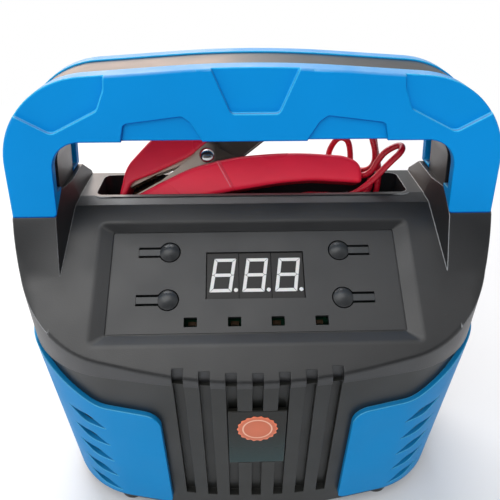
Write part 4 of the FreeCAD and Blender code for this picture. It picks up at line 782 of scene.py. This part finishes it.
class CHARGER_OT_front_plate(bpy.types.Operator):
    """Finishes the front plate and puts its bare round sticker on it."""
    bl_idname = "charger.front_plate"
    bl_label = "Front plate"

    def execute(self, context):
        sizes, colours = context.scene.charger_sizes, context.scene.charger_colours
        dress(acrylic_plate("acrylic_smoked"), "front_plate")
        radius = sizes.sticker_diameter / 2
        finish = sticker_vinyl("vinyl_printed_orange", colours.sticker, radius)
        sticker = add_mesh("front_sticker", self.scalloped(radius, sizes.sticker_thickness), finish)
        smooth(sticker)
        # The plate leans back as it goes down, so its front face runs from the top's low y
        low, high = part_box("front_plate")
        lean = math.atan2(high.y - low.y - PLATE_THICKNESS, high.z - low.z)
        face = low.y + (high.z - sizes.sticker_height) * math.tan(lean)
        sticker.matrix_world = (Matrix.Translation((0.0, face - STICKER_PRESS, sizes.sticker_height))
                                @ Matrix.Rotation(math.radians(90) + lean, 4, "X"))
        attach(sticker, "housing")
        return {"FINISHED"}

    def scalloped(self, radius, thickness):
        """A thin round plate with a scalloped rim."""
        built = bmesh.new()
        rim = []
        for i in range(RIM_STEPS):
            turn = 2 * math.pi * i / RIM_STEPS
            r = radius * (1 - SCALLOP_DEPTH + SCALLOP_DEPTH * math.cos(SCALLOPS * turn))
            rim.append((r * math.cos(turn), r * math.sin(turn)))
        rings = [[built.verts.new((x * share, y * share, lift * thickness)) for x, y in rim]
                 for share, lift in STICKER_RINGS]
        for outer, inner in zip(rings, rings[1:]):
            for i in range(RIM_STEPS):
                j = (i + 1) % RIM_STEPS
                built.faces.new((outer[i], outer[j], inner[j], inner[i]))
        built.faces.new(rings[-1])
        built.faces.new(reversed(rings[0]))
        return built


class CHARGER_OT_panel(bpy.types.Operator):
    """Finishes the control panel and its four push pads."""
    bl_idname = "charger.panel"
    bl_label = "Control panel"

    def execute(self, context):
        edge = context.scene.charger_sizes.edge_round * 0.2
        # Paler than the housing, with crisp edges
        dress(abs_grained("abs_panel_black", linear("#242527"), edge, grain_mm=0.45, depth_mm=0.02,
                          roughness=(0.40, 0.50)), "control_panel")
        # Touched often, so the pads shine a little more than the panel
        dress(abs_satin("abs_pad_black", linear("#262729"), edge, linear("#3A3C3E"), linear("#0C0D0E"),
                        roughness=(0.30, 0.40), film=0.03, level=0.6),
              *(f"button_{i}" for i in range(1, 5)))
        return {"FINISHED"}


class CHARGER_OT_display(bpy.types.Operator):
    """Finishes the three digit blocks and their unlit bars."""
    bl_idname = "charger.display"
    bl_label = "Display"

    def execute(self, context):
        colours = context.scene.charger_colours
        dress(digit_face("epoxy_face_grey", colours.display), *(f"display_module_{i}" for i in range(1, 4)))
        dress(digit_bar("epoxy_bar_white", colours.segment), "display_segments")
        return {"FINISHED"}


class CHARGER_OT_electronics(bpy.types.Operator):
    """Finishes the two boards and what is soldered to them."""
    bl_idname = "charger.electronics"
    bl_label = "Electronics"

    def execute(self, context):
        dress(circuit_board("solder_mask_green"), "control_board", "main_board")
        dress(moulded_component("moulded_case_black", linear("#1B1B1C")), "tact_switches",
              "power_transistors", "relay")
        # Clear enough to shine, tan from the die and the wires inside
        dress(moulded_component("lamp_epoxy_tan", linear("#5E4A38"), (0.15, 0.25)), "status_leds")
        # Glossy amber, as cast
        dress(moulded_component("fuse_polycarbonate_amber", linear("#B5641C"), (0.12, 0.22)), "fuse_holder")
        # Drawn can: cool and even, with a soft highlight
        dress(metal("capacitor_can_aluminium", linear("#A9AAB0"), (0.25, 0.4), 0.6, 0.005), "capacitors")
        # Extruded fins: dull, with streaks along them
        dress(metal("extruded_aluminium", linear("#B9BBC0"), (0.3, 0.45), 0.3, 0.01, (1.0, 1.0, 0.1)),
              "heat_sink")
        dress(laminated_steel("silicon_steel_laminated"), "transformer_core")
        dress(copper_winding("copper_enamelled"), "transformer_coil")
        return {"FINISHED"}


class CHARGER_OT_fan(bpy.types.Operator):
    """Finishes the cooling fan."""
    bl_idname = "charger.fan"
    bl_label = "Fan"

    def execute(self, context):
        # Glass-filled PBT: black and matt
        dress(moulded_component("pbt_fan_black", linear("#1E1F21")), "fan_frame", "fan_rotor")
        return {"FINISHED"}


class CHARGER_OT_clamps(bpy.types.Operator):
    """Finishes both clamps: insulators, jaws, teeth, rivets and springs."""
    bl_idname = "charger.clamps"
    bl_label = "Clamps"

    def execute(self, context):
        edge = context.scene.charger_sizes.edge_round * 2
        # Copper plating gone brown: dark, with hardly a glint
        copper = metal("copper_plated_teeth", linear("#6E5440"), (0.35, 0.5), 0.5, 0.01,
                       tarnish=linear("#34261C"))
        # Bright and nearly a mirror
        chrome = metal("chromed_rivet", linear("#D9DADC"), (0.08, 0.16), 1.0, 0.004)
        # Plain grey, with a soft glint along the wire
        wire = metal("drawn_spring_steel", linear("#9A9A9C"), (0.25, 0.4), 0.3, 0.006)
        # The third colour of each clamp is the painted highlight on its insulators' edges
        finishes = (("red", context.scene.charger_colours.clamp, linear("#F08A98")),
                    ("black", linear("#1C1C1E"), linear("#3A3B3D")))
        for name, colour, glint in finishes:
            low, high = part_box(f"clamp_{name}_rivet")
            # Each jaw's plating is pale up to its rivet and darkens behind it as painted shade
            painted_shade = plating_with_painted_shade(f"nickel_painted_shade_{name}", linear("#D2C4B4"), linear("#4A423C"),
                                (low.x + high.x) / 2)
            # The moving cover is the same PVC, darkened and with dimmer edge highlights as painted shade
            # under the handle's grip
            shaded_cover = soft_vinyl(f"pvc_insulator_{name}_deep", scaled(colour, 0.78), edge, scaled(glint, 0.6))
            dress(soft_vinyl(f"pvc_insulator_{name}", colour, edge, glint), f"clamp_{name}_fixed_cover")
            dress(shaded_cover, f"clamp_{name}_moving_cover")
            dress(painted_shade, f"clamp_{name}_fixed_jaw", f"clamp_{name}_moving_jaw")
            dress(copper, f"clamp_{name}_fixed_contact", f"clamp_{name}_moving_contact")
            dress(chrome, f"clamp_{name}_rivet")
            dress(wire, f"clamp_{name}_spring")
        return {"FINISHED"}


class CHARGER_OT_fasteners(bpy.types.Operator):
    """Finishes the screws of the case, the handle, the boards and the fan."""
    bl_idname = "charger.fasteners"
    bl_label = "Fasteners"

    def execute(self, context):
        # Passivated zinc: pale grey and a little cloudy
        zinc = metal("zinc_plated_screw", linear("#8D8F93"), (0.25, 0.4), 0.4, 0.01)
        dress(zinc, "handle_screws", "case_screws", "board_screws", "fan_screws")
        return {"FINISHED"}


class CHARGER_PT_sidebar(bpy.types.Panel):
    """Lists the steps that dress the charger, and the sizes and colours they use."""
    bl_idname = "CHARGER_PT_sidebar"
    bl_label = "Battery charger"
    bl_space_type = "VIEW_3D"
    bl_region_type = "UI"
    bl_category = "Charger"

    def draw(self, context):
        column = self.layout.column()
        for step in STEPS:
            column.operator(step.bl_idname)
        for group in (context.scene.charger_sizes, context.scene.charger_colours):
            for key in group.__annotations__:
                column.prop(group, key)


STEPS = (
    CHARGER_OT_stage, CHARGER_OT_leads, CHARGER_OT_housing, CHARGER_OT_handle, CHARGER_OT_guards,
    CHARGER_OT_front_plate, CHARGER_OT_panel, CHARGER_OT_display, CHARGER_OT_electronics, CHARGER_OT_fan,
    CHARGER_OT_clamps, CHARGER_OT_fasteners,
)
CLASSES = (ChargerSizes, ChargerColours, *STEPS, CHARGER_PT_sidebar)


def register():
    for made in CLASSES:
        bpy.utils.register_class(made)
    bpy.types.Scene.charger_sizes = PointerProperty(type=ChargerSizes)
    bpy.types.Scene.charger_colours = PointerProperty(type=ChargerColours)


def unregister():
    del bpy.types.Scene.charger_colours
    del bpy.types.Scene.charger_sizes
    for made in reversed(CLASSES):
        bpy.utils.unregister_class(made)


def main():
    """Registers the add-on and runs its steps in order."""
    register()
    for step in STEPS:
        group, name = step.bl_idname.split(".")
        getattr(getattr(bpy.ops, group), name)()


if __name__ == "__main__":
    main()
